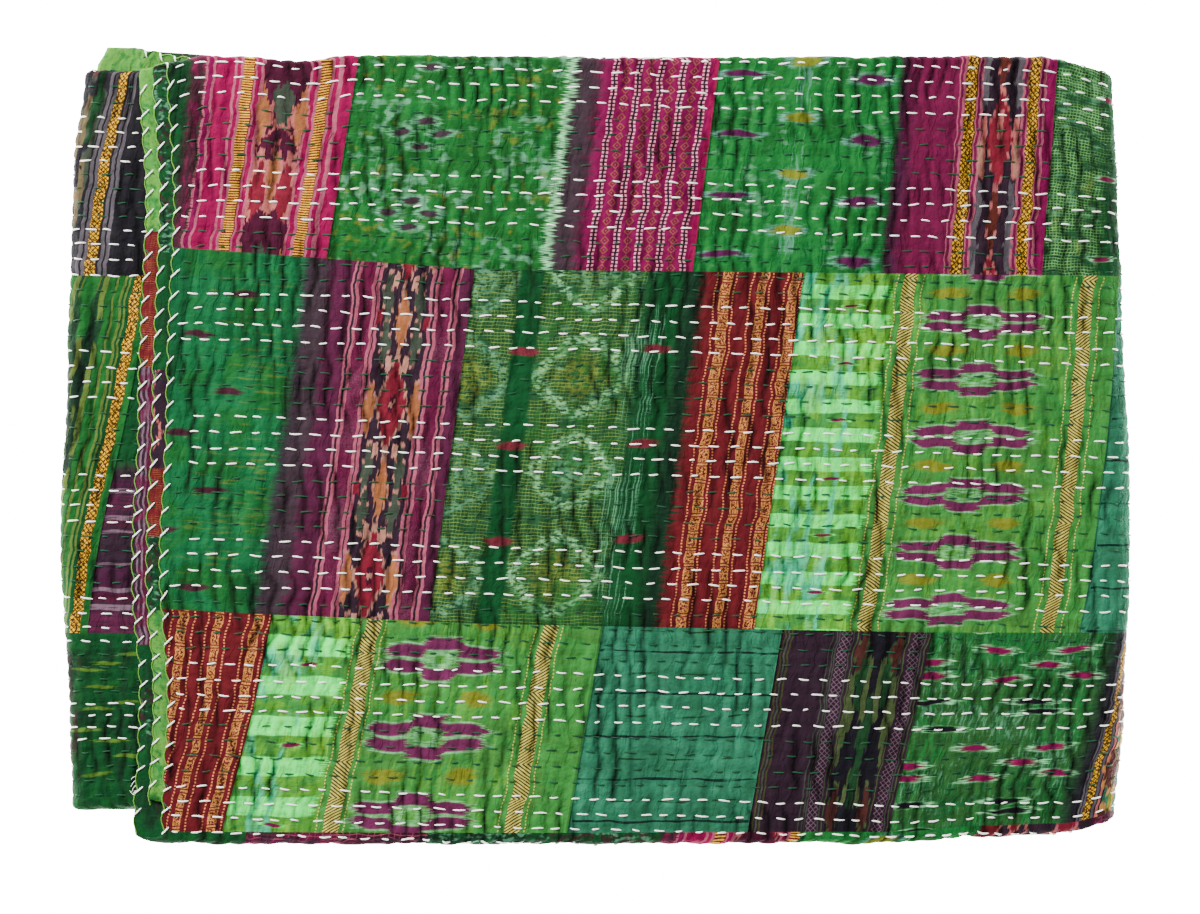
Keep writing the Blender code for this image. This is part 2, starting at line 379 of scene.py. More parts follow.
def follows_rows(edge):
    """Whether a long edge runs along the rows where the cloth shows and needs fine cells."""
    start, end, on_face = span(edge, 0)
    if end - start < LONG_CELL:
        return False
    v = edge.verts[0].co.y
    on_panel = V_BOTTOM - HAIR < v < V_INNER + HAIR
    on_top = on_face and on_panel and (end < TURN_IN + HAIR or start > TURN_OUT - HAIR)
    on_lip = v < LONG_HEM + HAIR and start > TURN_OUT - HAIR and end < LIP_END
    return (on_top and end < STRIP_END + HAIR) or on_lip


def beneath(edge):
    """Whether a long edge runs along the rows on the quilt's underside, which needs fewer cells."""
    start, end, on_face = span(edge, 0)
    v = edge.verts[0].co.y
    inside = U_RIGHT - HAIR < start and end < U_LEFT + HAIR
    return on_face and inside and end - start > LONG_CELL and V_BOTTOM - HAIR < v < V_INNER + HAIR


for chosen, cuts in ((crosses_rows, 19), (follows_rows, 19), (beneath, 7)):
    edges = [edge for edge in slab.edges if chosen(edge)]
    bmesh.ops.subdivide_edges(slab, edges=edges, cuts=cuts, use_grid_fill=True)
    bmesh.ops.poke(slab, faces=[face for face in slab.faces if len(face.verts) > 4])

# The face is three rows of patches, with a fourth row past the bottom crease. A patch runs from its
# own left seam to the next one's. Its seam leans, from u at the row's foot to u at the row's top.
Patch = namedtuple("Patch", "foot top cloth")
PatchRow = namedtuple("PatchRow", "foot top patches")
FACE_ROWS = [
    PatchRow(table((0, 560), (1, 560)), table((0, 733.4), (1, 733.4)), [
        Patch(-200, -200, "dark_green"), Patch(75, 76, "maroon_dots"), Patch(241, 241, "mottled_green"),
        Patch(444, 444, "pink_ladder"), Patch(582, 582, "green_maroon"), Patch(756, 756, "red_ikat"),
        Patch(862, 862, "maroon_dots"), Patch(1100, 1100, "teal"), Patch(1400, 1400, "lime_medallion"),
        Patch(1700, 1700, "dark_green"), Patch(2300, 2300, "dark_green"),
    ]),
    PatchRow(table((0, 733.4), (1, 733.4)), table(
        (-200, 950), (105, 933), (290, 925), (700, 917), (2780, 914),
    ), [
        Patch(-38, -2, "red_brocade"), Patch(55, 99, "lime_medallion_wide"), Patch(368, 401, "teal"),
        Patch(534, 566, "plum_lattice"), Patch(667, 703, "green_blotches"),
        Patch(843, 879, "pinstripe_zigzag"), Patch(925, 935, "green_blotches_b"),
        Patch(1105, 1115, "lime_medallion_wide"), Patch(1412, 1420, "red_brocade"),
        Patch(1506, 1516, "teal"), Patch(1670, 1682, "plum_lattice"), Patch(1806, 1818, "dark_green"),
    ]),
    PatchRow(table((-200, 950), (105, 933), (290, 925), (700, 917), (2780, 914)),
             table((-200, 1275), (10, 1271), (160, 1260), (290, 1251), (880, 1245), (2780, 1247)), [
        Patch(-24, 24, "green_purple_ikat"), Patch(241, 283, "check_medallion"),
        Patch(540, 586, "lime_medallion"), Patch(836, 881, "teal"), Patch(1010, 1020, "check_medallion"),
        Patch(1310, 1325, "green_purple_ikat"), Patch(1572, 1586, "teal"),
        Patch(1760, 1820, "green_chevron"), Patch(1914, 1972, "purple_bands"),
        Patch(2300, 2300, "dark_green"),
    ]),
    PatchRow(table((-200, 1275), (10, 1271), (160, 1260), (290, 1251), (880, 1245), (2780, 1247)),
             table((0, 1480), (1, 1480)), [
        Patch(-15.5, 20, "pink_ladder"), Patch(146.5, 182, "green_dashes"),
        Patch(483.5, 513, "green_maroon"), Patch(807, 834.5, "pale_check"),
        Patch(950, 965, "lime_medallion"), Patch(1245, 1262, "pink_ladder"),
        Patch(1407, 1424, "green_dashes"), Patch(1838, 1868, "charcoal_zigzag"),
        Patch(2300, 2300, "dark_green"),
    ]),
]
# The back shows where the three side edges step out, and along the lip of the lowest panel.
BACK_ROWS = [
    PatchRow(table((0, low), (1, low)), table((0, high), (1, high)), [
        Patch(-40, -40, first), Patch(200, 200, second), Patch(1700, 1700, third),
    ])
    for low, high, first, second, third in (
        (-10, 156, "leaf_green", "dark_green", "leaf_green"),
        (156, 280, "gold_twill", "teal", "dark_green"),
        (280, 540, "plum_stripe", "dark_green", "plum_stripe"),
        (540, 578, "dark_green", "maroon_dots", "leaf_green"),
        (578, 626, "mottled_green", "maroon_dots", "leaf_green"),
        (626, 720, "dark_green", "maroon_dots", "leaf_green"),
        (720, 1440, "teal", "dark_green", "teal"),
        (1440, 1627, "mottled_green", "leaf_green", "teal"),
        (1627, 1735, "dark_green", "maroon_dots", "dark_green"),
        (1735, 1828, "red_ikat", "leaf_green", "plum_stripe"),
        (1828, 1888, "gold_twill", "teal", "dark_green"),
        (1888, 1960, "mottled_green", "dark_green", "teal"),
        (1960, 2140, "leaf_green", "plum_stripe", "leaf_green"),
    )
]


def line_at(rows, u):
    """A seam that runs along the quilt, read between the points of its table."""
    for low, high in zip(rows, rows[1:]):
        if u <= high.at:
            break
    return low.by + (high.by - low.by) * min(max((u - low.at) / (high.at - low.at), 0), 1)


def seam_u(row, number, u, v):
    """Where the left seam of a patch lies at v."""
    foot, top = line_at(row.foot, u), line_at(row.top, u)
    share = (v - foot) / (top - foot)
    if number == len(row.patches):
        return LENGTH + 40 * MM
    patch = row.patches[number]
    return (patch.foot + (patch.top - patch.foot) * share) * MM


def patch_at(u, v, on_face):
    """The row and the number of the patch at a place."""
    rows = FACE_ROWS if on_face else BACK_ROWS
    row = next((row for row in rows if v < line_at(row.top, u)), rows[-1])
    number = sum(seam_u(row, number, u, v) <= u for number in range(1, len(row.patches)))
    return row, number


def place_in_patch(u, v, row, number):
    """A place measured on its own patch, in millimetres: from its left seam, and from its mid-height."""
    foot, top = line_at(row.foot, u), line_at(row.top, u)
    left, right = seam_u(row, number, u, v), seam_u(row, number + 1, u, v)
    middle = (foot + top) / 2
    wide = seam_u(row, number + 1, u, middle) - seam_u(row, number, u, middle)
    tall = line_at(row.top, 0.45) - line_at(row.foot, 0.45)
    across = (u - left) / (right - left) * wide
    return across / MM, ((v - foot) / (top - foot) - 0.5) * tall / MM


def cut_seam(start, end):
    """Cuts the face's cells along a straight seam, so that two patches meet on a clean line."""
    start, end = Vector((*start, 0)), Vector((*end, 0))
    along = (end - start).normalized()
    normal = Vector((-along.y, along.x, 0))
    long = (end - start).length
    cells = []
    for face in slab.faces:
        off = face.verts[0].co.xy.to_3d() - start
        if face.verts[0].co.z > 0 and abs(off.dot(normal)) < 22 * MM and -9 * MM < off.dot(along) < long:
            cells.append(face)
    geom = {element for face in cells for element in (*face.verts, *face.edges, face)}
    bmesh.ops.bisect_plane(
        slab, geom=list(geom), dist=2e-5, plane_co=start, plane_no=normal,
    )


seen_from = [(0.0, U_RIGHT), (TURN_OUT, STRIP_END)]
for row in FACE_ROWS[1:]:
    for number in range(1, len(row.patches)):
        low = line_at(row.foot, row.patches[number].foot * MM)
        high = min(line_at(row.top, row.patches[number].top * MM), V_INNER)
        foot = seam_u(row, number, row.patches[number].foot * MM, low)
        top = seam_u(row, number, row.patches[number].top * MM, high)
        if any(start < min(foot, top) and max(foot, top) < end for start, end in seen_from):
            cut_seam((foot, low), (top, high))
for rows in (FACE_ROWS[1].top, FACE_ROWS[2].top):
    for low, high in zip(rows, rows[1:]):
        start, end = max(low.at, 0.0), min(high.at, STRIP_END)
        cut_seam((start, line_at(rows, start)), (end, line_at(rows, end)))
bmesh.ops.triangulate(slab, faces=[face for face in slab.faces if len(face.verts) > 4])

cloth_names = sorted({patch.cloth for row in FACE_ROWS + BACK_ROWS for patch in row.patches})
on_patch = slab.loops.layers.uv.new("on_patch")
for face in slab.faces:
    centre = face.calc_center_median()
    face.smooth = True
    on_face = centre.z > -HALF / 2
    row, number = patch_at(centre.x, centre.y, on_face)
    face.material_index = cloth_names.index(row.patches[number].cloth)
    for loop in face.loops:
        loop[on_patch].uv = place_in_patch(loop.vert.co.x, loop.vert.co.y, row, number)
# Each face point keeps how deep it lies between the puckers, which the cloth's painted shade darkens.
in_valley = slab.verts.layers.float.new("in_valley")
for vert in slab.verts:
    u, v, w = vert.co
    if w > 0 and V_BOTTOM < v < V_INNER and u < SEWN_END:
        vert[in_valley] = valley(u, v)
    vert.co = folded(*shaped(u, v, w))
bmesh.ops.recalc_face_normals(slab, faces=slab.faces)
cloth_mesh = bpy.data.meshes.new("folded_cloth")
slab.to_mesh(cloth_mesh)
slab.free()
folded_cloth = bpy.data.objects.new("folded_cloth", cloth_mesh)
bpy.context.scene.collection.objects.link(folded_cloth)

# Every cloth is a sari cotton: a ground in stripes along its height, with its woven or tied patterns
# over it. A pattern gives two masks, the mark and what lies round or under it.
# Dyes are how much red, green and blue light the cotton gives back, in thousandths.
DYES = {
    "leaf": (8, 71, 12), "bright leaf": (10, 118, 22), "jade": (6, 82, 25), "deep leaf": (3, 39, 10),
    "dark leaf": (4, 17, 8), "pale leaf": (74, 225, 31), "lime": (29, 169, 29),
    "lime shade": (35, 119, 20), "mint": (58, 805, 110), "aqua": (23, 449, 246), "teal": (15, 102, 52),
    "dark teal": (4, 13, 11), "sea": (22, 181, 92), "haze": (87, 270, 146), "mist": (244, 657, 301),
    "olive": (48, 69, 12), "straw": (118, 200, 32),
    "grey": (59, 51, 58), "slate": (13, 11, 16), "black": (6, 5, 8), "grey brown": (29, 17, 23),
    "brown": (31, 8, 14), "rust": (55, 11, 8), "tan": (239, 80, 30), "sand": (436, 178, 35),
    "bud": (162, 47, 29), "gold": (579, 300, 7), "dark gold": (40, 18, 4), "cream": (458, 381, 65),
    "moss": (36, 54, 18), "red": (127, 8, 18), "dark red": (78, 6, 9), "maroon": (75, 4, 25),
    "wine": (40, 4, 15), "plum": (18, 8, 15), "purple": (52, 7, 25), "violet": (36, 6, 22),
    "magenta": (167, 1, 37), "rose": (121, 2, 38), "pink": (258, 56, 89), "pale pink": (321, 84, 75),
    # thread dark and edge shade are painted shade for the grooves between a thread's strands.
    "ash": (30, 39, 27), "thread green": (9, 85, 31), "thread dark": (4, 29, 14),
    "edge green": (144, 366, 11), "edge shade": (37, 120, 17), "pine": (9, 45, 16),
    "berry": (102, 5, 33), "grape": (59, 6, 40), "orchid": (91, 12, 47), "ochre": (126, 145, 12),
    "shell": (303, 132, 95), "brick": (95, 12, 19), "bloom": (502, 160, 61), "drab": (30, 34, 10),
    "straw dark": (59, 96, 17), "bark": (79, 59, 27), "ember": (42, 12, 10), "forest": (7, 33, 11),
    "blush": (609, 203, 271), "mauve": (121, 69, 95), "ink": (9, 8, 10), "spring": (169, 470, 20),
    "fleck": (51, 112, 13), "frost": (98, 287, 210), "celadon": (114, 297, 79), "fern": (17, 72, 17),
    "sprout": (71, 248, 13),
}


def dyed(name):
    """A dye as the colour of a socket."""
    return (*(part / 1000 for part in DYES[name]), 1.0)


def start_group(name, takes, gives=("Mark", "Ground")):
    """A new node group, with what it is given and what it gives as sockets found by their labels."""
    group = bpy.data.node_groups.new(name, "ShaderNodeTree")
    for label in takes:
        group.interface.new_socket(label, in_out="INPUT", socket_type="NodeSocketFloat")
    for label in gives:
        group.interface.new_socket(label, in_out="OUTPUT", socket_type="NodeSocketFloat")
    entry = group.nodes.new("NodeGroupInput").outputs
    return group, entry, group.nodes.new("NodeGroupOutput").inputs


def put(group, value, socket):
    """Links a socket to another, or sets it to a number or a colour."""
    if isinstance(value, bpy.types.NodeSocket):
        group.links.new(value, socket)
    else:
        socket.default_value = value


def reckon(group, operation, *values):
    """The result of a Math node on sockets or numbers."""
    node = group.nodes.new("ShaderNodeMath")
    node.operation = operation
    for value, socket in zip(values, node.inputs):
        put(group, value, socket)
    return node.outputs[0]


def scaled(group, value, size, add=0.0):
    """value times size plus add."""
    return reckon(group, "MULTIPLY_ADD", value, size, add)


def summed(group, first, *parts):
    """first plus each part times its own size."""
    for value, size in parts:
        first = reckon(group, "ADD", first, scaled(group, value, size))
    return first


def rising(group, value, low, high):
    """0 below low and 1 above high, with a soft step between. The other way round if high is less."""
    node = group.nodes.new("ShaderNodeMapRange")
    node.interpolation_type = "SMOOTHSTEP"
    for label, number in (("Value", value), ("From Min", low), ("From Max", high)):
        put(group, number, node.inputs[label])
    return node.outputs[0]


def mottle(group, across, up, wide, tall, seed=0.0, detail=1.0):
    """Noise with blots of a width and height in millimetres, from about 0.2 to 0.8."""
    place = group.nodes.new("ShaderNodeCombineXYZ")
    put(group, reckon(group, "DIVIDE", across, wide), place.inputs[0])
    put(group, reckon(group, "DIVIDE", up, tall), place.inputs[1])
    place.inputs[2].default_value = seed
    noise_node = group.nodes.new("ShaderNodeTexNoise")
    noise_node.inputs["Scale"].default_value = 1.0
    noise_node.inputs["Detail"].default_value = detail
    group.links.new(place.outputs[0], noise_node.inputs["Vector"])
    return noise_node.outputs["Fac"]


def swayed(group, value, given, wide, tall, size, seed, detail=1.0):
    """value moved to and fro by noise, by up to about a quarter of size each way."""
    sway = mottle(group, given["Across"], given["Up"], wide, tall, seed, detail)
    return reckon(group, "ADD", value, reckon(group, "MULTIPLY", reckon(group, "SUBTRACT", sway, 0.5), size))


def inside(group, value, start, wide):
    """1 where value lies between start and start + wide."""
    above = reckon(group, "GREATER_THAN", value, start)
    below = reckon(group, "LESS_THAN", value, reckon(group, "ADD", start, wide))
    return reckon(group, "MULTIPLY", above, below)


def in_band(group, given):
    """1 in the band that a pattern is given by its Start and Wide."""
    return inside(group, given["Across"], given["Start"], given["Wide"])


def fill_band(group, gives, band, mark):
    """Puts out a pattern's mark within its band, and the whole band as its ground."""
    put(group, reckon(group, "MULTIPLY", band, mark), gives["Mark"])
    put(group, band, gives["Ground"])


def repeat(group, value, pitch):
    """How far value is past the last of a row of marks, as a share of their pitch."""
    return reckon(group, "FLOORED_MODULO", reckon(group, "DIVIDE", value, pitch), 1.0)


def crossed_threads(group, given, thick):
    """Two sets of slanting threads that cross, each thick as a share of their pitch."""
    sets = []
    for way in ("ADD", "SUBTRACT"):
        slant = repeat(group, reckon(group, way, given["Across"], given["Up"]), given["Pitch"])
        sets.append(reckon(group, "LESS_THAN", slant, thick))
    return reckon(group, "MAXIMUM", *sets)


def off_centre(group, value, centre, pitch):
    """How far value is from the nearest of a row of centres."""
    half = reckon(group, "MULTIPLY", pitch, 0.5)
    shifted = reckon(group, "ADD", reckon(group, "SUBTRACT", value, centre), half)
    return reckon(group, "SUBTRACT", reckon(group, "FLOORED_MODULO", shifted, pitch), half)


def away(group, value, centre):
    """The distance between value and centre."""
    return reckon(group, "ABSOLUTE", reckon(group, "SUBTRACT", value, centre))


def oval(group, across, rise, half_wide, half_tall):
    """How far out a place is in an oval: 1 on its edge."""
    parts = [
        reckon(group, "POWER", reckon(group, "ABSOLUTE", reckon(group, "DIVIDE", *pair)), 2.0)
        for pair in ((across, half_wide), (rise, half_tall))
    ]
    return reckon(group, "SQRT", reckon(group, "ADD", *parts))


# A fuzzy join where the warp changes colour: it comes in between From and Full and goes out between
# Until and Gone, with long teeth along the weft.
fade, given, gives = start_group("fade", ("Across", "Up", "From", "Full", "Until", "Gone", "Fray"))
frayed = swayed(fade, given["Across"], given, 90, 1.1, given["Fray"], 2.0, 2.0)
comes = rising(fade, frayed, given["From"], given["Full"])
goes = rising(fade, frayed, given["Gone"], given["Until"])
put(fade, reckon(fade, "MULTIPLY", comes, goes), gives["Mark"])

# Close gold and dark bars between two edges
ladder, given, gives = start_group("ladder", ("Across", "Up", "Start", "Wide", "Pitch"))
place = swayed(ladder, given["Up"], given, 30, 6, 1.4, 4.0)
rungs = reckon(ladder, "LESS_THAN", repeat(ladder, place, given["Pitch"]), 0.46)
fill_band(ladder, gives, in_band(ladder, given), rungs)

# Two sets of slanting threads that cross in a band. Thick is their share of the pitch.
lattice, given, gives = start_group("lattice", ("Across", "Up", "Start", "Wide", "Pitch", "Thick"))
fill_band(lattice, gives, in_band(lattice, given), crossed_threads(lattice, given, given["Thick"]))

# Gold floats in a band, crossed by slanting dark places
zigzag, given, gives = start_group("zigzag", ("Across", "Up", "Start", "Wide", "Pitch"))
grains = mottle(zigzag, given["Across"], given["Up"], 1.8, 2.6, 6.0)
dark = reckon(zigzag, "MAXIMUM", crossed_threads(zigzag, given, 0.25),
              reckon(zigzag, "LESS_THAN", grains, 0.47))
fill_band(zigzag, gives, in_band(zigzag, given), reckon(zigzag, "SUBTRACT", 1.0, dark))

# Slanting cream floats in short lengths, like a twill. The slant turns at each Turn up the cloth.
twill, given, gives = start_group("twill", ("Across", "Up", "Start", "Wide", "Pitch", "Turn"))
way = scaled(twill, reckon(twill, "LESS_THAN", repeat(twill, given["Up"], given["Turn"]), 0.5), 1.3, -0.65)
leaned = reckon(twill, "MULTIPLY_ADD", given["Across"], way, given["Up"])
floats = reckon(twill, "LESS_THAN", repeat(twill, leaned, given["Pitch"]), 0.5)
fill_band(twill, gives, in_band(twill, given), floats)

# One line of small dots
dots, given, gives = start_group("dots", ("Across", "Up", "Centre", "Wide", "Pitch"))
off = away(dots, given["Across"], given["Centre"])
line = reckon(dots, "LESS_THAN", off, scaled(dots, given["Wide"], 0.5))
spots = reckon(dots, "LESS_THAN", repeat(dots, given["Up"], given["Pitch"]), 0.55)
put(dots, reckon(dots, "MULTIPLY", line, spots), gives["Mark"])

# Two columns of short dashes with a dark line between them
dashes, given, gives = start_group("dashes", ("Across", "Up", "Centre", "Apart", "Wide", "Pitch"))
off = away(dashes, given["Across"], given["Centre"])
column = away(dashes, off, scaled(dashes, given["Apart"], 0.5))
line = reckon(dashes, "LESS_THAN", column, scaled(dashes, given["Wide"], 0.5))
spots = reckon(dashes, "LESS_THAN", repeat(dashes, given["Up"], given["Pitch"]), 0.6)
put(dashes, reckon(dashes, "MULTIPLY", line, spots), gives["Mark"])
put(dashes, reckon(dashes, "LESS_THAN", off, scaled(dashes, given["Apart"], 0.62)), gives["Ground"])

# A column of small diamonds in outline, each with a dot in it
buds, given, gives = start_group("buds", ("Across", "Up", "Centre", "Pitch", "Size"))
rise = reckon(buds, "ABSOLUTE", off_centre(buds, given["Up"], 0.0, given["Pitch"]))
far = reckon(buds, "ADD", away(buds, given["Across"], given["Centre"]), rise)
far = reckon(buds, "DIVIDE", far, given["Size"])
ring = inside(buds, far, 0.66, 0.34)
put(buds, reckon(buds, "MAXIMUM", ring, reckon(buds, "LESS_THAN", far, 0.24)), gives["Mark"])

# Gold brocade in a band: blocks of small filigree, with a bar between two dark lines after each
brocade, given, gives = start_group("brocade", ("Across", "Up", "Start", "Wide", "Pitch"))
along = repeat(brocade, swayed(brocade, given["Up"], given, 12, 40, 4.0, 1.0), given["Pitch"])
line = reckon(brocade, "MAXIMUM", inside(brocade, along, 0.02, 0.075), inside(brocade, along, 0.2, 0.075))
curls = mottle(brocade, given["Across"], given["Up"], 1.9, 1.9, 3.0)
core = reckon(brocade, "LESS_THAN", away(brocade, given["Across"], reckon(
    brocade, "MULTIPLY_ADD", given["Wide"], 0.5, given["Start"])), scaled(brocade, given["Wide"], 0.36))
speck = reckon(brocade, "MULTIPLY", reckon(brocade, "GREATER_THAN", curls, 0.5), core)
speck = reckon(brocade, "MULTIPLY", speck, reckon(brocade, "GREATER_THAN", along, 0.3))
fine = mottle(brocade, given["Across"], given["Up"], 0.8, 1.1, 9.0)
speck = reckon(brocade, "MAXIMUM", speck, reckon(brocade, "LESS_THAN", fine, 0.42))
fill_band(brocade, gives, in_band(brocade, given), reckon(brocade, "MAXIMUM", line, speck))

# A tie-dyed blot that repeats up the cloth, with ends frayed along the weft and a patchy paler rim
blot, given, gives = start_group(
    "blot", ("Across", "Up", "Centre", "Height", "Pitch", "Half Wide", "Half Tall", "Fray", "Rim", "Lean"),
)
across = reckon(blot, "SUBTRACT", given["Across"], given["Centre"])
across = swayed(blot, across, given, 60, 1.0, given["Fray"], 5.0, 2.0)
up = swayed(blot, reckon(blot, "MULTIPLY_ADD", across, given["Lean"], given["Up"]), given, 18, 30, 5.0, 1.0)
rise = off_centre(blot, up, given["Height"], given["Pitch"])
far = oval(blot, across, rise, given["Half Wide"], given["Half Tall"])
put(blot, rising(blot, far, 1.16, 0.72), gives["Mark"])
rim_far = oval(
    blot, across, rise, reckon(blot, "MULTIPLY", given["Half Wide"], reckon(blot, "ADD", given["Rim"], 1.0)),
    reckon(blot, "MULTIPLY", given["Half Tall"], reckon(blot, "MULTIPLY_ADD", given["Rim"], 0.7, 1.0)))
patchy = rising(blot, mottle(blot, given["Across"], given["Up"], 11, 1.3, 8.0, 1.0), 0.36, 0.6)
ends = rising(blot, reckon(blot, "ABSOLUTE", reckon(blot, "DIVIDE", across, given["Half Wide"])), 0.35, 0.95)
rim = reckon(blot, "MULTIPLY", rising(blot, rim_far, 1.2, 0.85), scaled(blot, patchy, 0.9))
rim = reckon(blot, "MULTIPLY", rim, scaled(blot, ends, 0.75, 0.25))
put(blot, reckon(blot, "MULTIPLY", rim, reckon(blot, "GREATER_THAN", given["Rim"], 0.01)), gives["Ground"])

# A figure of warp ikat that repeats up the cloth, on both sides of a middle line: a stepped diamond,
# with a tooth at the end of each of its columns and a paler rim
flame, given, gives = start_group(
    "flame", ("Across", "Up", "Middle", "Aside", "Height", "Pitch", "Half Wide", "Half Tall", "Rim"),
)
off = away(flame, away(flame, given["Across"], given["Middle"]), given["Aside"])
columns = {"Across": reckon(flame, "SNAP", given["Across"], 2.6), "Up": given["Up"]}
up = swayed(flame, given["Up"], columns, 2.2, 90, 15.0, 7.0)
up = swayed(flame, up, given, 0.7, 20, 7.0, 3.0)
rise = reckon(flame, "ABSOLUTE", off_centre(flame, up, given["Height"], given["Pitch"]))
stepped = scaled(flame, reckon(flame, "SNAP", off, 2.6), 1.0, 1.3)
far = reckon(flame, "ADD", reckon(flame, "DIVIDE", stepped, given["Half Wide"]),
             reckon(flame, "DIVIDE", rise, given["Half Tall"]))
put(flame, rising(flame, far, 1.06, 1.0), gives["Mark"])
strokes = mottle(flame, columns["Across"], given["Up"], 2.2, 26, 3.0)
strokes = reckon(flame, "MULTIPLY", rising(flame, strokes, 0.38, 0.5), 0.9)
ground = rising(flame, reckon(flame, "SUBTRACT", far, given["Rim"]), 1.07, 1.0)
put(flame, reckon(flame, "MULTIPLY", ground, strokes), gives["Ground"])

# A check of fine lines: those along the weft, and fainter ones up the cloth
check, given, gives = start_group(
    "check", ("Across", "Up", "Start", "Wide", "Pitch", "Rise", "Thick", "Upright"),
)
lines = []
for way, pitch, strength in (("Across", "Pitch", given["Upright"]), ("Up", "Rise", 1.0)):
    place = swayed(check, given[way], given, 18, 18, 5.0, 8.0)
    line = reckon(check, "LESS_THAN", repeat(check, place, given[pitch]), given["Thick"])
    lines.append(reckon(check, "MULTIPLY", line, strength))
worn = rising(check, mottle(check, given["Across"], given["Up"], 24, 14, 3.0, 2.0), 0.3, 0.56)
band = reckon(check, "MULTIPLY", in_band(check, given), worn)
put(check, reckon(check, "MULTIPLY", band, reckon(check, "MAXIMUM", *lines)), gives["Mark"])

# Stripes laid along the weft, from Start to Until
bars, given, gives = start_group("bars", ("Across", "Up", "Start", "Until", "Height", "Pitch", "Tall"))
rise = reckon(bars, "ABSOLUTE", off_centre(bars, given["Up"], given["Height"], given["Pitch"]))
edge = swayed(bars, rise, given, 30, 2.0, 2.4, 2.0)
laid = rising(bars, edge, scaled(bars, given["Tall"], 0.54), scaled(bars, given["Tall"], 0.46))
frayed = swayed(bars, given["Across"], given, 40, 1.0, 20.0, 5.0)
comes = rising(bars, given["Across"], given["Start"], scaled(bars, given["Start"], 1.0, 0.6))
goes = rising(bars, frayed, scaled(bars, given["Until"], 1.0, 2.0), scaled(bars, given["Until"], 1.0, -2.0))
put(bars, reckon(bars, "MULTIPLY", laid, reckon(bars, "MULTIPLY", comes, goes)), gives["Mark"])

# Soft blots of undyed weft, from Start over Wide. Share is how much of the cloth they cover, and
# Strength how strong they are.
clouds, given, gives = start_group(
    "clouds", ("Across", "Up", "Start", "Wide", "Size", "Tall", "Share", "Strength", "Seed"),
)
place = reckon(clouds, "MULTIPLY_ADD", given["Seed"], 431.0, given["Across"])
puffs = mottle(clouds, place, given["Up"], given["Size"], given["Tall"], 0.0, 1.5)
patches = mottle(clouds, place, given["Up"], 110, 60, 6.0)
streaks = mottle(clouds, given["Across"], given["Up"], 14.0, 0.9, 4.0, 1.0)
depth = summed(clouds, -0.25, (puffs, 0.8), (streaks, 0.2), (patches, 0.5))
level = scaled(clouds, given["Share"], -0.32, 0.69)
soft = rising(clouds, depth, scaled(clouds, level, 1.0, -0.06), scaled(clouds, level, 1.0, 0.08))
soft = reckon(clouds, "MULTIPLY", soft, in_band(clouds, given))
put(clouds, reckon(clouds, "MULTIPLY", soft, given["Strength"]), gives["Mark"])

# A long tied figure: a bar above and one below a paler eye, and two arms to each side of it
hexagon, given, gives = start_group("hexagon", ("Across", "Up", "Centre", "Height", "Pitch", "Half Wide"))
across = reckon(hexagon, "SUBTRACT", given["Across"], given["Centre"])
across = swayed(hexagon, across, given, 50, 0.9, 30.0, 3.0, 2.0)
aside = reckon(hexagon, "DIVIDE", reckon(hexagon, "ABSOLUTE", across), given["Half Wide"])
bowed = swayed(hexagon, given["Up"], given, 24, 40, 5.0, 6.0)
rise = reckon(hexagon, "ABSOLUTE", off_centre(hexagon, bowed, given["Height"], given["Pitch"]))
rise = reckon(hexagon, "DIVIDE", rise, scaled(hexagon, given["Pitch"], 1 / 53))
step = rising(hexagon, aside, 0.36, 0.26)
level = scaled(hexagon, step, 5.4, 5.3)
level = reckon(hexagon, "SUBTRACT", level, scaled(hexagon, rising(hexagon, aside, 0.6, 1.1), 0.9))
thick = reckon(hexagon, "MULTIPLY", scaled(hexagon, step, 0.1, 4.1), rising(hexagon, aside, 1.14, 0.9))
bar = reckon(hexagon, "SUBTRACT", away(hexagon, rise, level), thick)
put(hexagon, reckon(hexagon, "MULTIPLY", rising(hexagon, bar, 0.9, -0.7),
                    reckon(hexagon, "LESS_THAN", aside, 1.08)), gives["Mark"])
patchy = rising(hexagon, mottle(hexagon, given["Across"], given["Up"], 13, 1.3, 8.0, 1.0), 0.3, 0.6)
halo = reckon(hexagon, "MULTIPLY", rising(hexagon, bar, 2.1, 0.6), rising(hexagon, aside, 1.3, 1.0))
pupil = oval(hexagon, aside, rise, 0.27, 5.2)
eye = reckon(hexagon, "MULTIPLY", rising(hexagon, away(hexagon, pupil, 0.78), 0.36, 0.1), 0.8)
put(hexagon, reckon(hexagon, "MULTIPLY", reckon(hexagon, "MAXIMUM", halo, eye),
                    scaled(hexagon, patchy, 0.5, 0.05)), gives["Ground"])

# A pale tied ring, streaked along the weft, with a spot of colour in it
rings, given, gives = start_group(
    "ring", ("Across", "Up", "Centre", "Height", "Pitch", "Half Wide", "Half Tall", "Strength"),
)
across = reckon(rings, "SUBTRACT", given["Across"], given["Centre"])
across = swayed(rings, across, given, 26, 1.2, 24.0, 9.0, 2.0)
rise = off_centre(rings, swayed(rings, given["Up"], given, 9, 9, 9.0, 2.0), given["Height"], given["Pitch"])
corners = [
    reckon(rings, "ABSOLUTE", reckon(rings, "DIVIDE", value, half))
    for value, half in ((across, given["Half Wide"]), (rise, given["Half Tall"]))
]
far = oval(rings, across, rise, given["Half Wide"], given["Half Tall"])
far = scaled(rings, reckon(rings, "ADD", far, reckon(rings, "ADD", *corners)), 0.46)
patchy = rising(rings, mottle(rings, given["Across"], given["Up"], 6, 3.2, 5.0, 2.0), 0.4, 0.58)
ring = rising(rings, away(rings, far, 0.92), 0.2, 0.06)
strong = reckon(rings, "MULTIPLY", patchy, given["Strength"])
put(rings, reckon(rings, "MULTIPLY", ring, strong), gives["Mark"])
put(rings, reckon(rings, "MULTIPLY", rising(rings, far, 0.72, 0.4), strong), gives["Ground"])

PATTERNS = {group.name: group for group in bpy.data.node_groups}
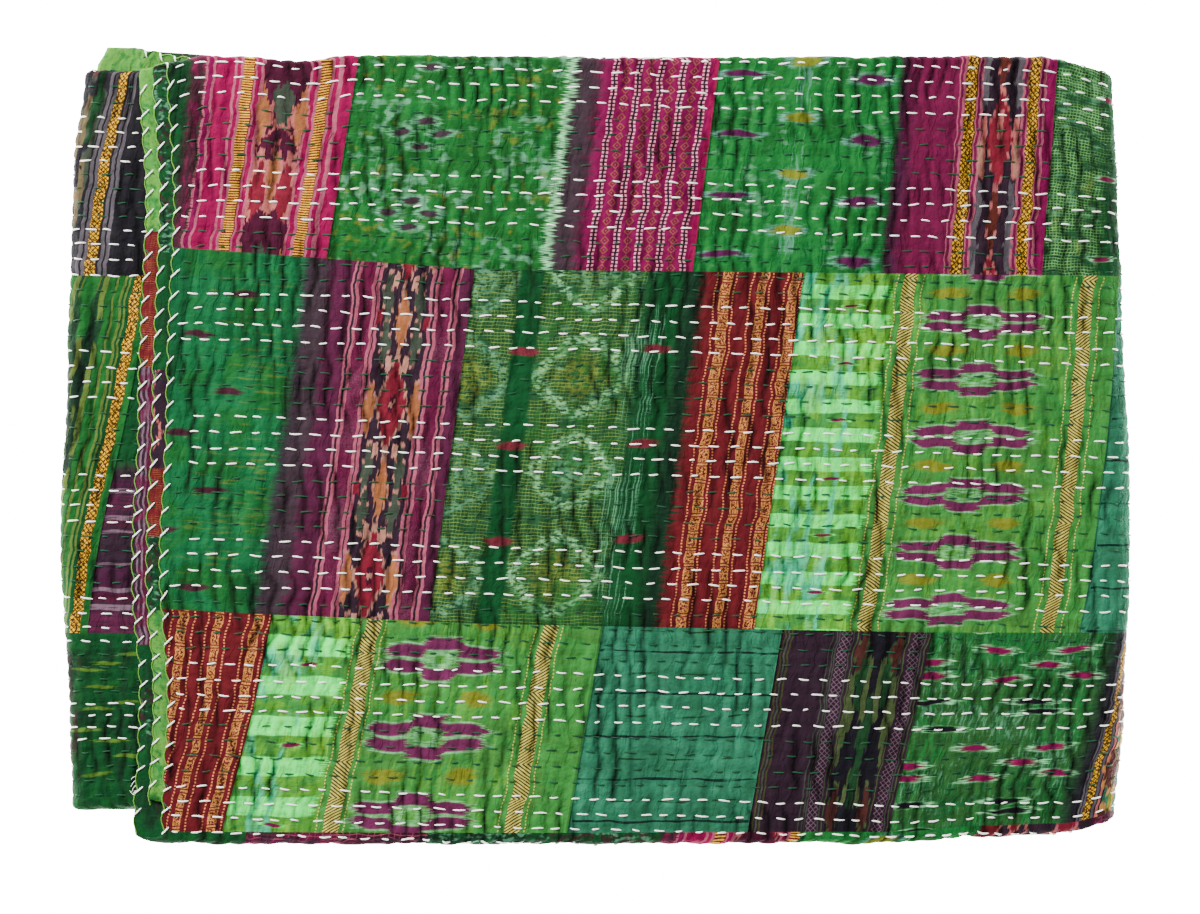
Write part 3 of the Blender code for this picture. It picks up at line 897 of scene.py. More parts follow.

# The sewn cloth's surface: its weave and the creases that the stitching draws up across the rows, as a
# bump, and painted shade: its Shade darkens the colour in the valleys between the puckers, in the
# creases and at the seams, and lightens and darkens it with the rumple and drape that lift the bump.
surface, given, gives = start_group("worn weave", ("Across", "Up", "Width", "Valley"), ("Shade", "Lift"))
warp = reckon(surface, "SINE", scaled(surface, given["Across"], 2 * math.pi / 0.62))
weft = reckon(surface, "SINE", scaled(surface, given["Up"], 2 * math.pi / 0.7))
threads = scaled(surface, reckon(surface, "ADD", warp, weft), 0.03)
slub = mottle(surface, given["Across"], given["Up"], 9, 0.7, 1.0, 2.0)
bent = swayed(surface, given["Across"], given, 60, 22, 16.0, 3.0)
drape = mottle(surface, bent, given["Up"], 15, 90, 5.0)
gather = mottle(surface, bent, given["Up"], 7.5, 42, 9.0, 1.0)
strong = rising(surface, mottle(surface, given["Across"], given["Up"], 20, 26, 2.0), 0.35, 0.6)
flat = rising(surface, away(surface, gather, 0.5), 0.0, 0.07)
crease = reckon(surface, "MULTIPLY", reckon(surface, "SUBTRACT", 1.0, flat), strong)
rumple = mottle(surface, given["Across"], given["Up"], 6, 5, 8.0, 3.0)
from_left = rising(surface, given["Across"], 0.0, 1.8)
from_right = rising(surface, reckon(surface, "SUBTRACT", given["Width"], given["Across"]), 0.0, 1.4)
at_seam = reckon(surface, "MULTIPLY", from_left, from_right)
put(surface, summed(
    surface, threads, (crease, -0.35), (rumple, 1.5), (drape, 5.5), (gather, 1.8), (slub, 0.14),
    (at_seam, 0.6),
), gives["Lift"])
# Painted shade: darkest in the valleys, less in the creases and at the seams; only the slubs are the weave's
# own tone.
depth = reckon(surface, "POWER", given["Valley"], 1.7)
shade = scaled(surface, depth, -0.8, 0.26)
shade = summed(surface, shade, (crease, -0.1), (rumple, 0.4), (drape, 0.7), (slub, 0.2))
put(surface, reckon(surface, "MULTIPLY", shade, scaled(surface, at_seam, 0.35, 0.65)), gives["Shade"])


def blots(dye, rim_dye, wide, tall, pitch, fray, rim, *places):
    """Blots of one size at places: how far across and up, with the lean that a third number gives."""
    return [
        ("blot", dye, rim_dye, across, up, pitch, wide, tall, fray, rim, *(lean or [0.0]))
        for across, up, *lean in places
    ]


def flames(middle, pitch, *shapes):
    """Warp ikat figures: each is its dye, its rim's dye, its place and sizes, and its rim."""
    return [
        ("flame", dye, rim_dye, middle, aside, up, pitch, *sizes)
        for dye, rim_dye, aside, up, *sizes in shapes
    ]


def brocade_bands(*bands):
    """Sand brocade on dark red in bands, each from its start and as wide as it says."""
    return [("brocade", "dark red", "sand", start, wide, 15.4) for start, wide in bands]


def lime_cloth(pitch, mint, mark, medallion, shift):
    """Lime cloth with mint bars, two gold twill bands and purple tied figures between them."""
    tall = pitch / 26.3
    patterns = [
        ("clouds", "lime shade", None, -20, 420, 34, 9, 0.5, 0.65, 4.0),
        ("clouds", "sprout", None, -8, 96 + shift, 16, 11, 0.66, 0.7, 2.0),
        ("clouds", "bright leaf", None, 80 + shift, 230, 9, 30, 0.4, 0.35, 6.0),
        ("bars", "mint", None, -5, 84 + shift, mint, pitch, 12.6 * tall),
        ("clouds", "aqua", None, -5, 62 + shift, 11, 34, 0.5, 0.75, 8.0),
        ("clouds", "spring", None, 10, 74 + shift, 13, 30, 0.5, 0.5, 9.0),
        ("clouds", "bright leaf", None, -5, 90 + shift, 4, 26, 0.36, 0.4, 7.5),
        ("clouds", "spring", None, 104 + shift, 150, 5, 30, 0.4, 0.2, 3.0),
        *blots("berry", "mint", 9, 1.4 * tall, 2 * pitch, 12, 0.3, (50 + shift, mark)),
        *blots("ochre", None, 17, 5.6 * tall, 2 * pitch, 40, 0.0, (140 + shift, medallion - pitch)),
        *blots("ochre", None, 14, 6.2 * tall, 2 * pitch, 34, 0.0, (210 + shift, medallion - pitch)),
        ("hexagon", "orchid", "mist", 172 + shift, medallion, 2 * pitch, 51),
    ]
    for start in (94.5 + shift, 259.5 + shift):
        patterns.append(("twill", "cream", "drab", start, 12.5 * tall ** 0.5, 3.0, 64))
        for centre in (start - 6, start + 18.5):
            patterns.append(("dots", "cream", None, centre, 1.0, 3.1))
    return patterns


# Each pattern is its name, the dyes of its mark and of its ground, and its own sizes in millimetres.
Cloth = namedtuple("Cloth", "width stripes patterns")
CLOTHS = {
    "pink_ladder": Cloth(162, (
        (0, "deep leaf"), (24, "pink"), (26, "rose"), (31, "pink"), (33, "magenta"), (50, "pink"),
        (53, "magenta"), (56, "pink"), (59, "dark red"), (69, "pink"), (71.5, "magenta"), (75, "pink"),
        (78.5, "wine"), (119.5, "pink"), (122, "magenta"), (126, "pink"), (129.5, "dark red"),
        (139.5, "pink"), (142, "magenta"), (146, "pink"), (150, "magenta"),
    ), [
        ("clouds", "dark leaf", None, -9, 24, 9, 12, 0.6, 0.8, 1.0),
        ("fade", "brown", None, 6, 15, 23.5, 24.5, 18),
        ("clouds", "berry", None, 12, 12, 5, 20, 0.5, 0.8, 3.0),
        ("ladder", "gold", "dark red", 59, 9.8, 2.6), ("ladder", "gold", "dark red", 129.5, 9.8, 2.6),
        *flames(
            99, 165, ("pale pink", None, 11, 50, 3, 60, 0), ("pale pink", None, 18, -50, 3, 50, 0),
            ("pink", None, 20, 20, 1.6, 80, 0),
            ("ash", "pale pink", 0, 46, 11, 50, 0.3), ("tan", "pale pink", 17, 26, 6, 36, 0.36),
            ("wine", None, 13, 66, 8, 34, 0), ("wine", "pale pink", 0, -8, 20, 22, 0.16),
            ("tan", "pale pink", 0, -40, 8, 32, 0.4), ("red", "pale pink", 13, -54, 8.5, 34, 0.36),
            ("pale pink", None, 3, -76, 3, 24, 0), ("wine", None, 6, -92, 16, 22, 0.0),
        ),
    ]),
    "green_dashes": Cloth(334, ((0, "leaf"), (206, "maroon"), (226, "rose"), (328, "magenta")), [
        ("clouds", "bright leaf", None, -9, 220, 30, 26, 0.5, 0.7, 7.0),
        ("clouds", "haze", None, -9, 214, 12, 10, 0.25, 0.65, 1.0),
        ("clouds", "ochre", None, -9, 205, 11, 11, 0.18, 0.5, 2.0),
        *blots("grey brown", "haze", 8.5, 3.6, 76, 13, 0.7, (69, 20), (49, 9), (86, 9), (69, -4)),
        ("fade", "mist", None, 194, 200, 204, 208, 34),
        ("fade", "grey brown", None, 198, 205, 218, 234, 34),
        *[("dashes", "blush", "plum", centre, 3.9, 2.0, 3.6) for centre in (239.7, 261.5, 282, 302, 323)],
        *[("buds", "bud", None, centre, 8.7, 4.2) for centre in (250.6, 271.6, 292, 312.5)],
    ]),
    "green_maroon": Cloth(323, (
        (0, "bright leaf"), (176, "berry"), (230, "pink"), (232, "berry"), (234, "pink"), (236, "berry"),
        (237.6, "dark gold"), (247.5, "pink"), (249.5, "berry"), (252, "pink"), (254, "plum"),
        (291, "pink"), (293, "berry"), (295.5, "pink"), (298, "dark gold"), (307.5, "pink"),
        (309, "berry"), (311, "pink"), (313.5, "rose"),
    ), [
        ("clouds", "leaf", None, -9, 190, 30, 30, 0.5, 0.8, 5.0),
        ("clouds", "haze", None, -9, 180, 14, 8, 0.14, 0.5, 1.0),
        ("clouds", "frost", None, 75, 14, 3, 20, 0.3, 0.4, 4.0),
        *blots("grape", "frost", 20, 3.0, 55.5, 24, 0.35, (24, 12)),
        *blots("grape", "frost", 17, 5.0, 55.5, 20, 0.4, (147, 6)),
        *blots("ochre", "frost", 14, 4.6, 52, 18, 0.4, (81, 27)),
        ("fade", "deep leaf", None, 160, 178, 180, 182, 22),
        ("fade", "violet", None, 172, 178, 182, 196, 20),
        ("clouds", "maroon", None, 180, 50, 20, 30, 0.5, 0.6, 3.0),
        ("zigzag", "gold", "dark gold", 237.6, 9.9, 4.8), ("zigzag", "gold", "dark gold", 298, 9.5, 4.8),
        *flames(
            273, 150, ("pale pink", None, 15, 0, 2.4, 56, 0), ("shell", None, 17, -10, 2, 40, 0),
            ("grey", None, 16, 60, 4, 34, 0), ("grey", None, 15, -52, 4, 30, 0),
            ("red", "pale pink", 0, 8, 12, 44, 0.14), ("pale pink", None, 0, 22, 2.6, 26, 0),
            ("rust", "pale pink", 0, -66, 5, 34, 0.2),
        ),
    ]),
    "pale_check": Cloth(126, ((0, "pine"), (60, "pine")), [
        ("clouds", "haze", None, 0, 90, 14, 5, 0.3, 0.5, 5.0),
        ("clouds", "ochre", None, 6, 44, 14, 20, 0.14, 0.4, 6.0),
        ("check", "celadon", None, 0, 96, 2.9, 2.7, 0.26, 0.7),
        ("clouds", "pine", None, 0, 110, 7, 3, 0.3, 0.6, 2.0),
        ("fade", "deep leaf", None, 40, 56, 300, 301, 22),
        *blots("berry", "mist", 9, 2.6, 78, 14, 0.4, (52, 56)),
    ]),
    "green_purple_ikat": Cloth(262, (
        (0, "jade"), (118, "purple"), (151.5, "pink"), (154, "plum"), (156.5, "pink"), (159, "maroon"),
        (171.5, "pink"), (174, "plum"), (176, "pink"), (178.7, "plum"), (224.5, "pink"), (227.5, "plum"),
        (230, "pink"), (233, "maroon"), (244, "pink"), (246.5, "plum"), (248.3, "pink"), (251, "purple"),
    ), [
        ("clouds", "leaf", None, -9, 125, 34, 40, 0.5, 0.8, 7.0),
        ("clouds", "ochre", None, 20, 84, 24, 3, 0.12, 0.35, 4.0),
        ("clouds", "deep leaf", None, -9, 125, 16, 60, 0.4, 0.5, 9.0),
        *blots("brown", None, 14, 3.4, 89.5, 26, 0.0, (52, 36), (14, -3)),
        ("fade", "slate", None, 100, 112, 124, 134, 24),
        ("fade", "grey brown", None, 106, 116, 126, 136, 24),
        ("clouds", "mauve", None, 160, 11.4, 0.8, 0.9, 0.3, 0.45, 3.0),
        ("clouds", "mauve", None, 233.5, 10.4, 0.8, 0.9, 0.3, 0.45, 4.0),
        *flames(
            202, 157, ("shell", None, 8, 72, 2.6, 14, 0), ("shell", None, 9, -10, 2.6, 12, 0),
            ("ash", "shell", 15, -26, 5, 28, 0.15), ("ash", "shell", 14, -66, 5, 24, 0.15),
            ("red", None, 22, -45, 2, 16, 0.0), ("tan", "shell", 21, 30, 5.4, 28, 0.15),
            ("red", "shell", 0, 34, 13.5, 42, 0.18), ("wine", None, 0, 34, 4, 10, 0),
            ("shell", None, 0, 34, 2, 6, 0), ("tan", "shell", 0, -45, 6.6, 30, 0.18),
        ),
    ]),
    "check_medallion": Cloth(303, ((0, "pine"), (206, "dark red")), [
        ("ring", "haze", "ochre", 4, 62, 184, 40, 35, 0.6),
        ("ring", "haze", "haze", 4, -30, 184, 38, 32, 0.5),
        ("ring", "mist", "ochre", 109, 66, 184, 40, 36, 0.55),
        ("ring", "mist", "haze", 112, -22, 184, 37, 33, 0.5),
        ("clouds", "haze", None, 66, 90, 16, 6, 0.1, 0.3, 3.0),
        ("check", "straw", None, 0, 160, 3.2, 3.3, 0.17, 0.4),
        ("clouds", "leaf", None, 66, 90, 12, 20, 0.5, 0.6, 5.0),
        ("fade", "deep leaf", None, 40, 45, 64, 67, 4),
        ("fade", "deep leaf", None, 140, 176, 206, 208, 30),
        ("clouds", "haze", None, 146, 34, 1.6, 70, 0.3, 0.6, 9.0),
        *blots("brick", None, 14, 4.4, 88, 24, 0.0, (54, 1), (175, 5)),
        ("fade", "dark leaf", None, 186, 202, 206, 216, 30),
        *[("dots", "bloom", None, centre, 1.5, 2.8) for centre in (223.5, 240.5, 255.5, 272.7, 286.5, 301)],
        *brocade_bands((228, 9.4), (261.7, 7.8), (290, 8.6)),
    ]),
    "lime_medallion": Cloth(297, ((0, "lime"), (200, "lime")), lime_cloth(26.3, 15, -24, 15, 0)),
    "lime_medallion_wide": Cloth(306, ((0, "lime"), (200, "lime")), lime_cloth(35, -2, 52, 61, -9)),
    "teal": Cloth(166, ((0, "teal"), (100, "teal")), [
        ("clouds", "sea", None, 0, 300, 40, 26, 0.4, 0.4, 2.0),
        ("clouds", "deep leaf", None, 0, 300, 20, 30, 0.4, 0.3, 7.0),
        ("bars", "dark teal", None, 2, 190, -6, 39, 1.9), ("bars", "forest", None, 34, 56, 13, 39, 1.6),
        ("bars", "forest", None, 78, 104, 12, 39, 1.5), ("bars", "forest", None, 128, 150, 14, 39, 1.5),
        ("clouds", "sea", None, 0, 300, 12, 40, 0.42, 0.5, 5.0),
    ]),
    "red_brocade": Cloth(96, ((0, "dark red"), (60, "dark red")), [
        *[("dots", "bloom", None, centre, 1.5, 2.8) for centre in (12.5, 32, 43.5, 61, 76.5, 94)],
        *brocade_bands((18, 8.5), (49, 7), (81, 8.5)),
    ]),
    "plum_lattice": Cloth(136, (
        (0, "plum"), (2, "drab"), (3.2, "plum"), (5, "ash"), (6.4, "plum"), (8.4, "drab"), (9.6, "plum"),
        (45, "ash"), (46.2, "plum"), (48.4, "ash"), (49.6, "plum"), (51, "ash"), (52, "plum"), (63.6, "ash"),
        (64.8, "plum"), (67, "moss"), (68.2, "plum"), (70.5, "black"), (112, "plum"), (113.5, "moss"),
        (114.7, "plum"), (128.4, "ash"), (129.6, "plum"), (131.4, "moss"), (132.6, "plum"),
    ), [
        ("lattice", "mauve", "plum", 53, 10, 5.0, 0.15), ("lattice", "mauve", "plum", 117.5, 10, 5.0, 0.15),
        *flames(
            91, 190, ("moss", None, 19, 10, 5, 56, 0), ("forest", None, 0, -20, 8, 60, 0),
            ("moss", None, 6, 40, 3, 50, 0), ("moss", None, 7, -46, 3, 40, 0),
            ("black", None, 11, -26, 8, 46, 0), ("forest", None, 12, 52, 5, 40, 0),
            ("ember", "moss", 15, -76, 5, 30, 0.2), ("ember", "moss", 16, 76, 5, 24, 0.2),
        ),
    ]),
    "green_blotches": Cloth(176, ((0, "fern"), (100, "fern")), [
        ("clouds", "jade", None, 0, 170, 26, 16, 0.5, 0.4, 8.0),
        ("clouds", "deep leaf", None, 0, 190, 9, 50, 0.5, 0.6, 3.0),
        ("clouds", "haze", None, 0, 160, 2.6, 12, 0.34, 0.5, 5.0),
        ("clouds", "bright leaf", None, 0, 160, 2.2, 16, 0.5, 0.7, 1.5),
        *blots("rose", "mist", 15, 3.4, 97, 30, 0.45, (63, -19, 0.1), (4, -32), (7, -44), (112, -34),
               (78, -49, -0.1), (134, -19, -0.1), (147, -45, 0.08)),
        *blots("black", "mist", 19, 2.8, 97, 30, 0.4, (12, 27), (115, 16, -0.05), (28, 1, 0.06), (106, 26)),
        ("fade", "slate", None, 156, 176, 300, 301, 24),
    ]),
    "pinstripe_zigzag": Cloth(70, (
        (0, "slate"), (1.2, "grey"), (2.6, "slate"), (3.6, "grey"), (5, "slate"), (12, "grey"),
        (14, "slate"), (15.2, "pale pink"), (17, "slate"), (18.5, "teal"), (24, "ochre"), (27, "sand"),
        (30, "teal"), (45, "leaf"),
    ), [
        ("zigzag", "gold", "dark gold", 5.6, 5.8, 4.0),
        *flames(24, 60, ("rust", "sand", 3, 10, 6, 24, 0.3)),
    ]),
    "charcoal_zigzag": Cloth(430, (
        (0, "ink"), (56.6, "grey"), (59.4, "ink"), (61.2, "grey"), (64, "ink"), (65.4, "dark gold"),
        (74.9, "ink"), (76.4, "grey"), (79.6, "ink"), (81.6, "grey"), (85.4, "ink"),
    ), [
        *flames(
            32, 190, ("ash", None, 21, 20, 2.6, 80, 0), ("forest", None, 16, 50, 5, 46, 0),
            ("bark", "ash", 8, 24, 6, 44, 0.15), ("bark", "ash", 17, -34, 4.5, 44, 0.15),
            ("ember", "ash", 9, 96, 6, 22, 0.2), ("ember", None, 5, -40, 4, 44, 0),
            ("black", None, 12, -8, 4, 30, 0),
        ),
        ("zigzag", "gold", "dark gold", 65.4, 9.5, 4.6),
        ("clouds", "black", None, 86, 400, 24, 14, 0.5, 0.7, 1.0),
    ]),
    "green_chevron": Cloth(167, (
        (0, "dark leaf"), (119, "straw dark"), (121.6, "leaf"), (126.8, "straw dark"), (129.6, "deep leaf"),
        (131.4, "straw dark"), (133.2, "deep leaf"), (137.1, "dark gold"), (146.5, "leaf"),
    ), [
        ("clouds", "forest", None, 0, 120, 10, 80, 0.6, 0.9, 2.0),
        *flames(
            96, 230, ("leaf", None, 20, 30, 5, 90, 0), ("leaf", None, 20, -80, 4, 70, 0),
            ("straw dark", None, 14, 50, 3.4, 80, 0), ("straw dark", None, 14, -60, 3.4, 70, 0),
            ("olive", None, 0, 60, 4, 90, 0), ("olive", None, 6, -20, 4, 90, 0),
            ("leaf", None, 2, -70, 5, 70, 0), ("dark leaf", None, 9, -20, 3, 80, 0),
            ("dark leaf", None, 3, 30, 4, 60, 0),
        ),
        *flames(40, 190, ("straw dark", None, 12, 20, 4, 70, 0), ("leaf", None, 0, -30, 7, 80, 0)),
        ("zigzag", "gold", "dark gold", 137.1, 9.4, 4.6),
        ("clouds", "deep leaf", None, 149, 100, 14, 60, 0.5, 0.6, 1.0),
    ]),
    "purple_bands": Cloth(340, ((0, "violet"), (200, "violet")), [
        ("clouds", "plum", None, -5, 400, 60, 12, 0.6, 0.8, 4.0),
        *[("bars", dye, None, -5, 320, up, 700, tall) for dye, up, tall in (
            ("mauve", -33, 4.0), ("purple", -44, 14), ("mauve", -58, 5.0), ("wine", -64, 6),
            ("mauve", -71, 3.0), ("plum", -88, 30), ("mauve", -100, 2.0), ("mauve", -124, 4.0),
            ("wine", -131, 6), ("mauve", -140, 5.0), ("purple", -158, 26))],
        ("clouds", "plum", None, -5, 320, 16, 1.6, 0.5, 0.8, 6.0),
        ("bars", "deep leaf", None, -5, 320, 78, 700, 180),
    ]),
    "dark_green": Cloth(300, ((0, "deep leaf"), (200, "deep leaf")), [
        ("clouds", "leaf", None, -5, 900, 12, 30, 0.4, 0.4, 3.0),
        ("clouds", "dark leaf", None, -5, 900, 14, 40, 0.5, 0.7, 5.0),
        *blots(
            "fleck", None, 15, 2.4, 600, 34, 0.0, (139, 71), (115, 61), (97, 53, 0.06), (109, 32),
            (132, 12, -0.05), (107, 4), (97, -22, 0.06), (122, -35), (109, -71, -0.04), (140, -52),
        ),
        ("clouds", "brown", None, 60, 30, 12, 60, 0.6, 0.6, 7.0),
    ]),
    "maroon_dots": Cloth(166, ((0, "maroon"), (80, "wine")), [
        ("check", "pink", None, 0, 300, 6, 4, 0.2, 0.4),
        ("clouds", "plum", None, 0, 300, 22, 9, 0.6, 0.8, 5.0),
    ]),
    "red_ikat": Cloth(110, ((0, "dark red"), (40, "plum")), [
        *flames(30, 60, ("plum", "pale pink", 8, 10, 9, 22, 0.3), ("red", "pale pink", 0, -20, 10, 20, 0.2)),
        *flames(80, 60, ("tan", "pale pink", 8, 0, 8, 22, 0.3), ("red", "pink", 0, 30, 10, 20, 0.2)),
    ]),
    "leaf_green": Cloth(240, ((0, "pale leaf"), (120, "pale leaf")), [
        ("clouds", "lime", None, -60, 900, 12, 22, 0.5, 0.7, 2.0),
        ("clouds", "bright leaf", None, -60, 900, 6, 7, 0.4, 0.8, 4.0),
    ]),
    "gold_twill": Cloth(240, ((0, "dark red"), (120, "dark red")), [
        ("check", "tan", None, -60, 900, 3.4, 1.9, 0.18, 0.3),
        ("clouds", "dark red", None, -60, 900, 2, 16, 0.5, 0.9, 2.0),
    ]),
    "plum_stripe": Cloth(240, (
        (0, "plum"), (44, "mauve"), (45.2, "plum"), (48.5, "mauve"), (49.7, "wine"), (60, "mauve"),
        (61, "plum"),
    ), [
        ("clouds", "maroon", None, -60, 900, 12, 14, 0.5, 0.8, 2.0),
        ("clouds", "mauve", None, -60, 900, 1.6, 26, 0.3, 0.6, 7.0),
    ]),
    "mottled_green": Cloth(240, ((0, "deep leaf"), (120, "deep leaf")), [
        ("clouds", "dark leaf", None, -60, 900, 8, 8, 0.6, 0.9, 2.0),
        ("clouds", "brown", None, -60, 900, 7, 7, 0.4, 0.8, 6.0),
        ("clouds", "haze", None, -60, 900, 6, 4, 0.3, 0.5, 3.0),
    ]),
}
CLOTHS["green_blotches_b"] = CLOTHS["green_blotches"]


def mixed(tree, amount, under, over, blend="MIX"):
    """One colour laid over another by a mask."""
    node = tree.nodes.new("ShaderNodeMix")
    node.data_type = "RGBA"
    node.blend_type = blend
    for value, socket in ((amount, node.inputs["Factor"]), (under, node.inputs[6]), (over, node.inputs[7])):
        put(tree, value, socket)
    return node.outputs[2]


def woven(name, cloth):
    """A sari cloth's material: stripes from a colour ramp, patterns over them, then the weave's bump and its
    painted shade.
    """
    material = bpy.data.materials.new(name)
    material.use_nodes = True
    tree = material.node_tree
    shader = tree.nodes["Principled BSDF"]
    place = tree.nodes.new("ShaderNodeUVMap")
    place.uv_map = "on_patch"
    apart = tree.nodes.new("ShaderNodeSeparateXYZ")
    tree.links.new(place.outputs["UV"], apart.inputs[0])
    flat = {"Across": apart.outputs[0], "Up": apart.outputs[1]}
    across = swayed(tree, swayed(tree, flat["Across"], flat, 400, 32, 8.0, 2.0), flat, 60, 9, 3.0, 5.0)
    up = swayed(tree, flat["Up"], flat, 30, 60, 5.0, 6.0)
    ramp = tree.nodes.new("ShaderNodeValToRGB")
    ramp.color_ramp.interpolation = "CONSTANT"
    elements = ramp.color_ramp.elements
    elements[1].position = 0.999
    elements[1].color = dyed(cloth.stripes[-1][1])
    elements[0].color = dyed(cloth.stripes[0][1])
    for start, dye in cloth.stripes[1:]:
        elements.new(start / cloth.width).color = dyed(dye)
    put(tree, reckon(tree, "DIVIDE", across, cloth.width), ramp.inputs["Fac"])
    colour = ramp.outputs["Color"]
    shine = None
    for pattern, dye, ground, *sizes in cloth.patterns:
        node = tree.nodes.new("ShaderNodeGroup")
        node.node_tree = PATTERNS[pattern]
        for value, socket in zip((across, up, *sizes), node.inputs):
            put(tree, value, socket)
        if ground:
            colour = mixed(tree, node.outputs["Ground"], colour, dyed(ground))
        colour = mixed(tree, node.outputs["Mark"], colour, dyed(dye))
        if dye in ("gold", "cream") or ground == "sand":
            glint = node.outputs["Ground" if ground == "sand" else "Mark"]
            shine = glint if shine is None else reckon(tree, "MAXIMUM", shine, glint)
    weave = tree.nodes.new("ShaderNodeGroup")
    weave.node_tree = surface
    # Reads the valley depth that the painted shade darkens.
    depth = tree.nodes.new("ShaderNodeAttribute")
    depth.attribute_name = "in_valley"
    fed = (flat["Across"], flat["Up"], float(cloth.width), depth.outputs["Fac"])
    for value, socket in zip(fed, weave.inputs):
        put(tree, value, socket)
    # The colour is multiplied by the weave's Shade: painted shade of the creases, valleys and seams.
    put(tree, mixed(tree, 1.0, colour, weave.outputs["Shade"], "MULTIPLY"), shader.inputs["Base Color"])
    put(tree, 0.85 if shine is None else scaled(tree, shine, -0.35, 0.85), shader.inputs["Roughness"])
    bump = tree.nodes.new("ShaderNodeBump")
    bump.inputs["Strength"].default_value = 1.0
    bump.inputs["Distance"].default_value = 1.0 * MM
    put(tree, weave.outputs["Lift"], bump.inputs["Height"])
    put(tree, bump.outputs["Normal"], shader.inputs["Normal"])
    shader.inputs["Specular IOR Level"].default_value = 0.06
    return material


for name in cloth_names:
    folded_cloth.data.materials.append(woven(name, CLOTHS[name]))
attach(folded_cloth, "root")
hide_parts("quilt")

# ---- The stitches ----
# Running stitch in thick white cotton and in finer green cotton, drawn tight, so that each stitch lies
# in its channel with its ends pulled into the cloth.


def new_thread(name, radius):
    """A curve that gathers all of one kind of round thread."""
    curve = bpy.data.curves.new(name, "CURVE")
    curve.dimensions = "3D"
    curve.bevel_depth = radius
    curve.bevel_resolution = 1
    curve.use_fill_caps = True
    return curve


def lay(curve, points, thickness):
    """One length of thread along points, with its thickness at each as a share of the curve's."""
    spline = curve.splines.new("POLY")
    spline.points.add(len(points) - 1)
    for point, place, share in zip(spline.points, points, thickness):
        point.co = (*place, 1.0)
        point.radius = share


def sewn_piece(curve, material):
    """The curve's threads as one mesh piece."""
    guide = bpy.data.objects.new(curve.name + "_guide", curve)
    bpy.context.scene.collection.objects.link(guide)
    mesh = bpy.data.meshes.new_from_object(guide.evaluated_get(bpy.context.evaluated_depsgraph_get()))
    bpy.data.objects.remove(guide)
    mesh.name = curve.name
    mesh.materials.clear()
    mesh.materials.append(material)
    mesh.shade_smooth()
    piece = bpy.data.objects.new(curve.name, mesh)
    bpy.context.scene.collection.objects.link(piece)
    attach(piece, "root")
    return piece


def spun(name, light, dark, sheen):
    """Cotton thread: twisted strands, paler on each strand and darker in the grooves between them, where the
    bump also sinks, as painted shade, and patchier where the fuzz noise is low.
    """
    material = bpy.data.materials.new(name)
    material.use_nodes = True
    tree = material.node_tree
    shader = tree.nodes["Principled BSDF"]
    place = tree.nodes.new("ShaderNodeTexCoord").outputs["Object"]
    twist = tree.nodes.new("ShaderNodeTexWave")
    twist.bands_direction = "DIAGONAL"
    twist.inputs["Scale"].default_value = 700
    twist.inputs["Distortion"].default_value = 3.0
    twist.inputs["Detail"].default_value = 2.0
    tree.links.new(place, twist.inputs["Vector"])
    fuzz = tree.nodes.new("ShaderNodeTexNoise")
    fuzz.inputs["Scale"].default_value = 260
    fuzz.inputs["Detail"].default_value = 3.0
    tree.links.new(place, fuzz.inputs["Vector"])
    # The grooves of the twist take the darker dye: painted shade.
    share = reckon(tree, "MULTIPLY", twist.outputs["Fac"], fuzz.outputs["Fac"])
    share = reckon(tree, "MULTIPLY", share, 1.5)
    put(tree, mixed(tree, share, dyed(dark), dyed(light)), shader.inputs["Base Color"])
    bump = tree.nodes.new("ShaderNodeBump")
    bump.inputs["Strength"].default_value = 0.4
    bump.inputs["Distance"].default_value = 0.25 * MM
    put(tree, twist.outputs["Fac"], bump.inputs["Height"])
    put(tree, bump.outputs["Normal"], shader.inputs["Normal"])
    shader.inputs["Roughness"].default_value = 0.75
    shader.inputs["Sheen Weight"].default_value = sheen
    shader.inputs["Specular IOR Level"].default_value = 0.15
    return material


# thread shade is painted shade: the colour of the grooves between the strands.
DYES.update({"thread white": (950, 950, 890), "thread shade": (900, 900, 820)})
white_cotton = spun("white_cotton", "thread white", "thread shade", 0.25)
green_cotton = spun("green_cotton", "thread green", "thread dark", 0.05)
edge_cotton = spun("edge_cotton", "edge green", "edge shade", 0.05)

CLEAR_OF_WHIPS = 7 * MM
white_rows = new_thread("white_running_stitch", 0.76 * MM)
green_rows = new_thread("green_running_stitch", 0.62 * MM)
for row, stitches in rows_of_stitches.items():
    white = row // ROWS_OF_ONE_COLOUR % 2 == 0
    curve = white_rows if white else green_rows
    for stitch in stitches:
        if stitch.start < CLEAR_OF_WHIPS or stitch.end > STRIP_END:
            continue
        middle = (stitch.start + stitch.end) / 2
        lowest = V_FACE - (9 if middle < U_RIGHT - 60 * MM else -4) * MM
        if not lowest < row_line(row, middle) < V_TOP + 5 * MM:
            continue
        underneath = U_RIGHT - 20 * MM < middle < U_LEFT + 10 * MM
        slant = hand.uniform(-0.8, 0.8) * MM
        bow = hand.uniform(-0.6, 0.6) * MM
        lift = (-0.15 if underneath else 0.35 if white else 0.5) * MM
        points = []
        for share, rise in ((0, -0.9), (0.2, 0.2), (0.5, 0.55), (0.8, 0.2), (1, -0.9)):
            u = stitch.start + (stitch.end - stitch.start) * share
            v = row_line(row, u) + slant * (share - 0.5) * 2 + bow * (1 - (2 * share - 1) ** 2)
            points.append(on_cloth(u, v, lift + rise * (0.55 if underneath else 0.8) * MM))
        lay(curve, points, (0.55, 1.0, 1.05, 1.0, 0.55))
white_stitches = sewn_piece(white_rows, white_cotton)
green_stitches = sewn_piece(green_rows, green_cotton)

# ---- The whipped edges ----
# The free edges are overcast: white cotton goes over the edge in slanting whips, and a yellow-green
# cotton lies along the edge between them. Some whips are sewn again in green.

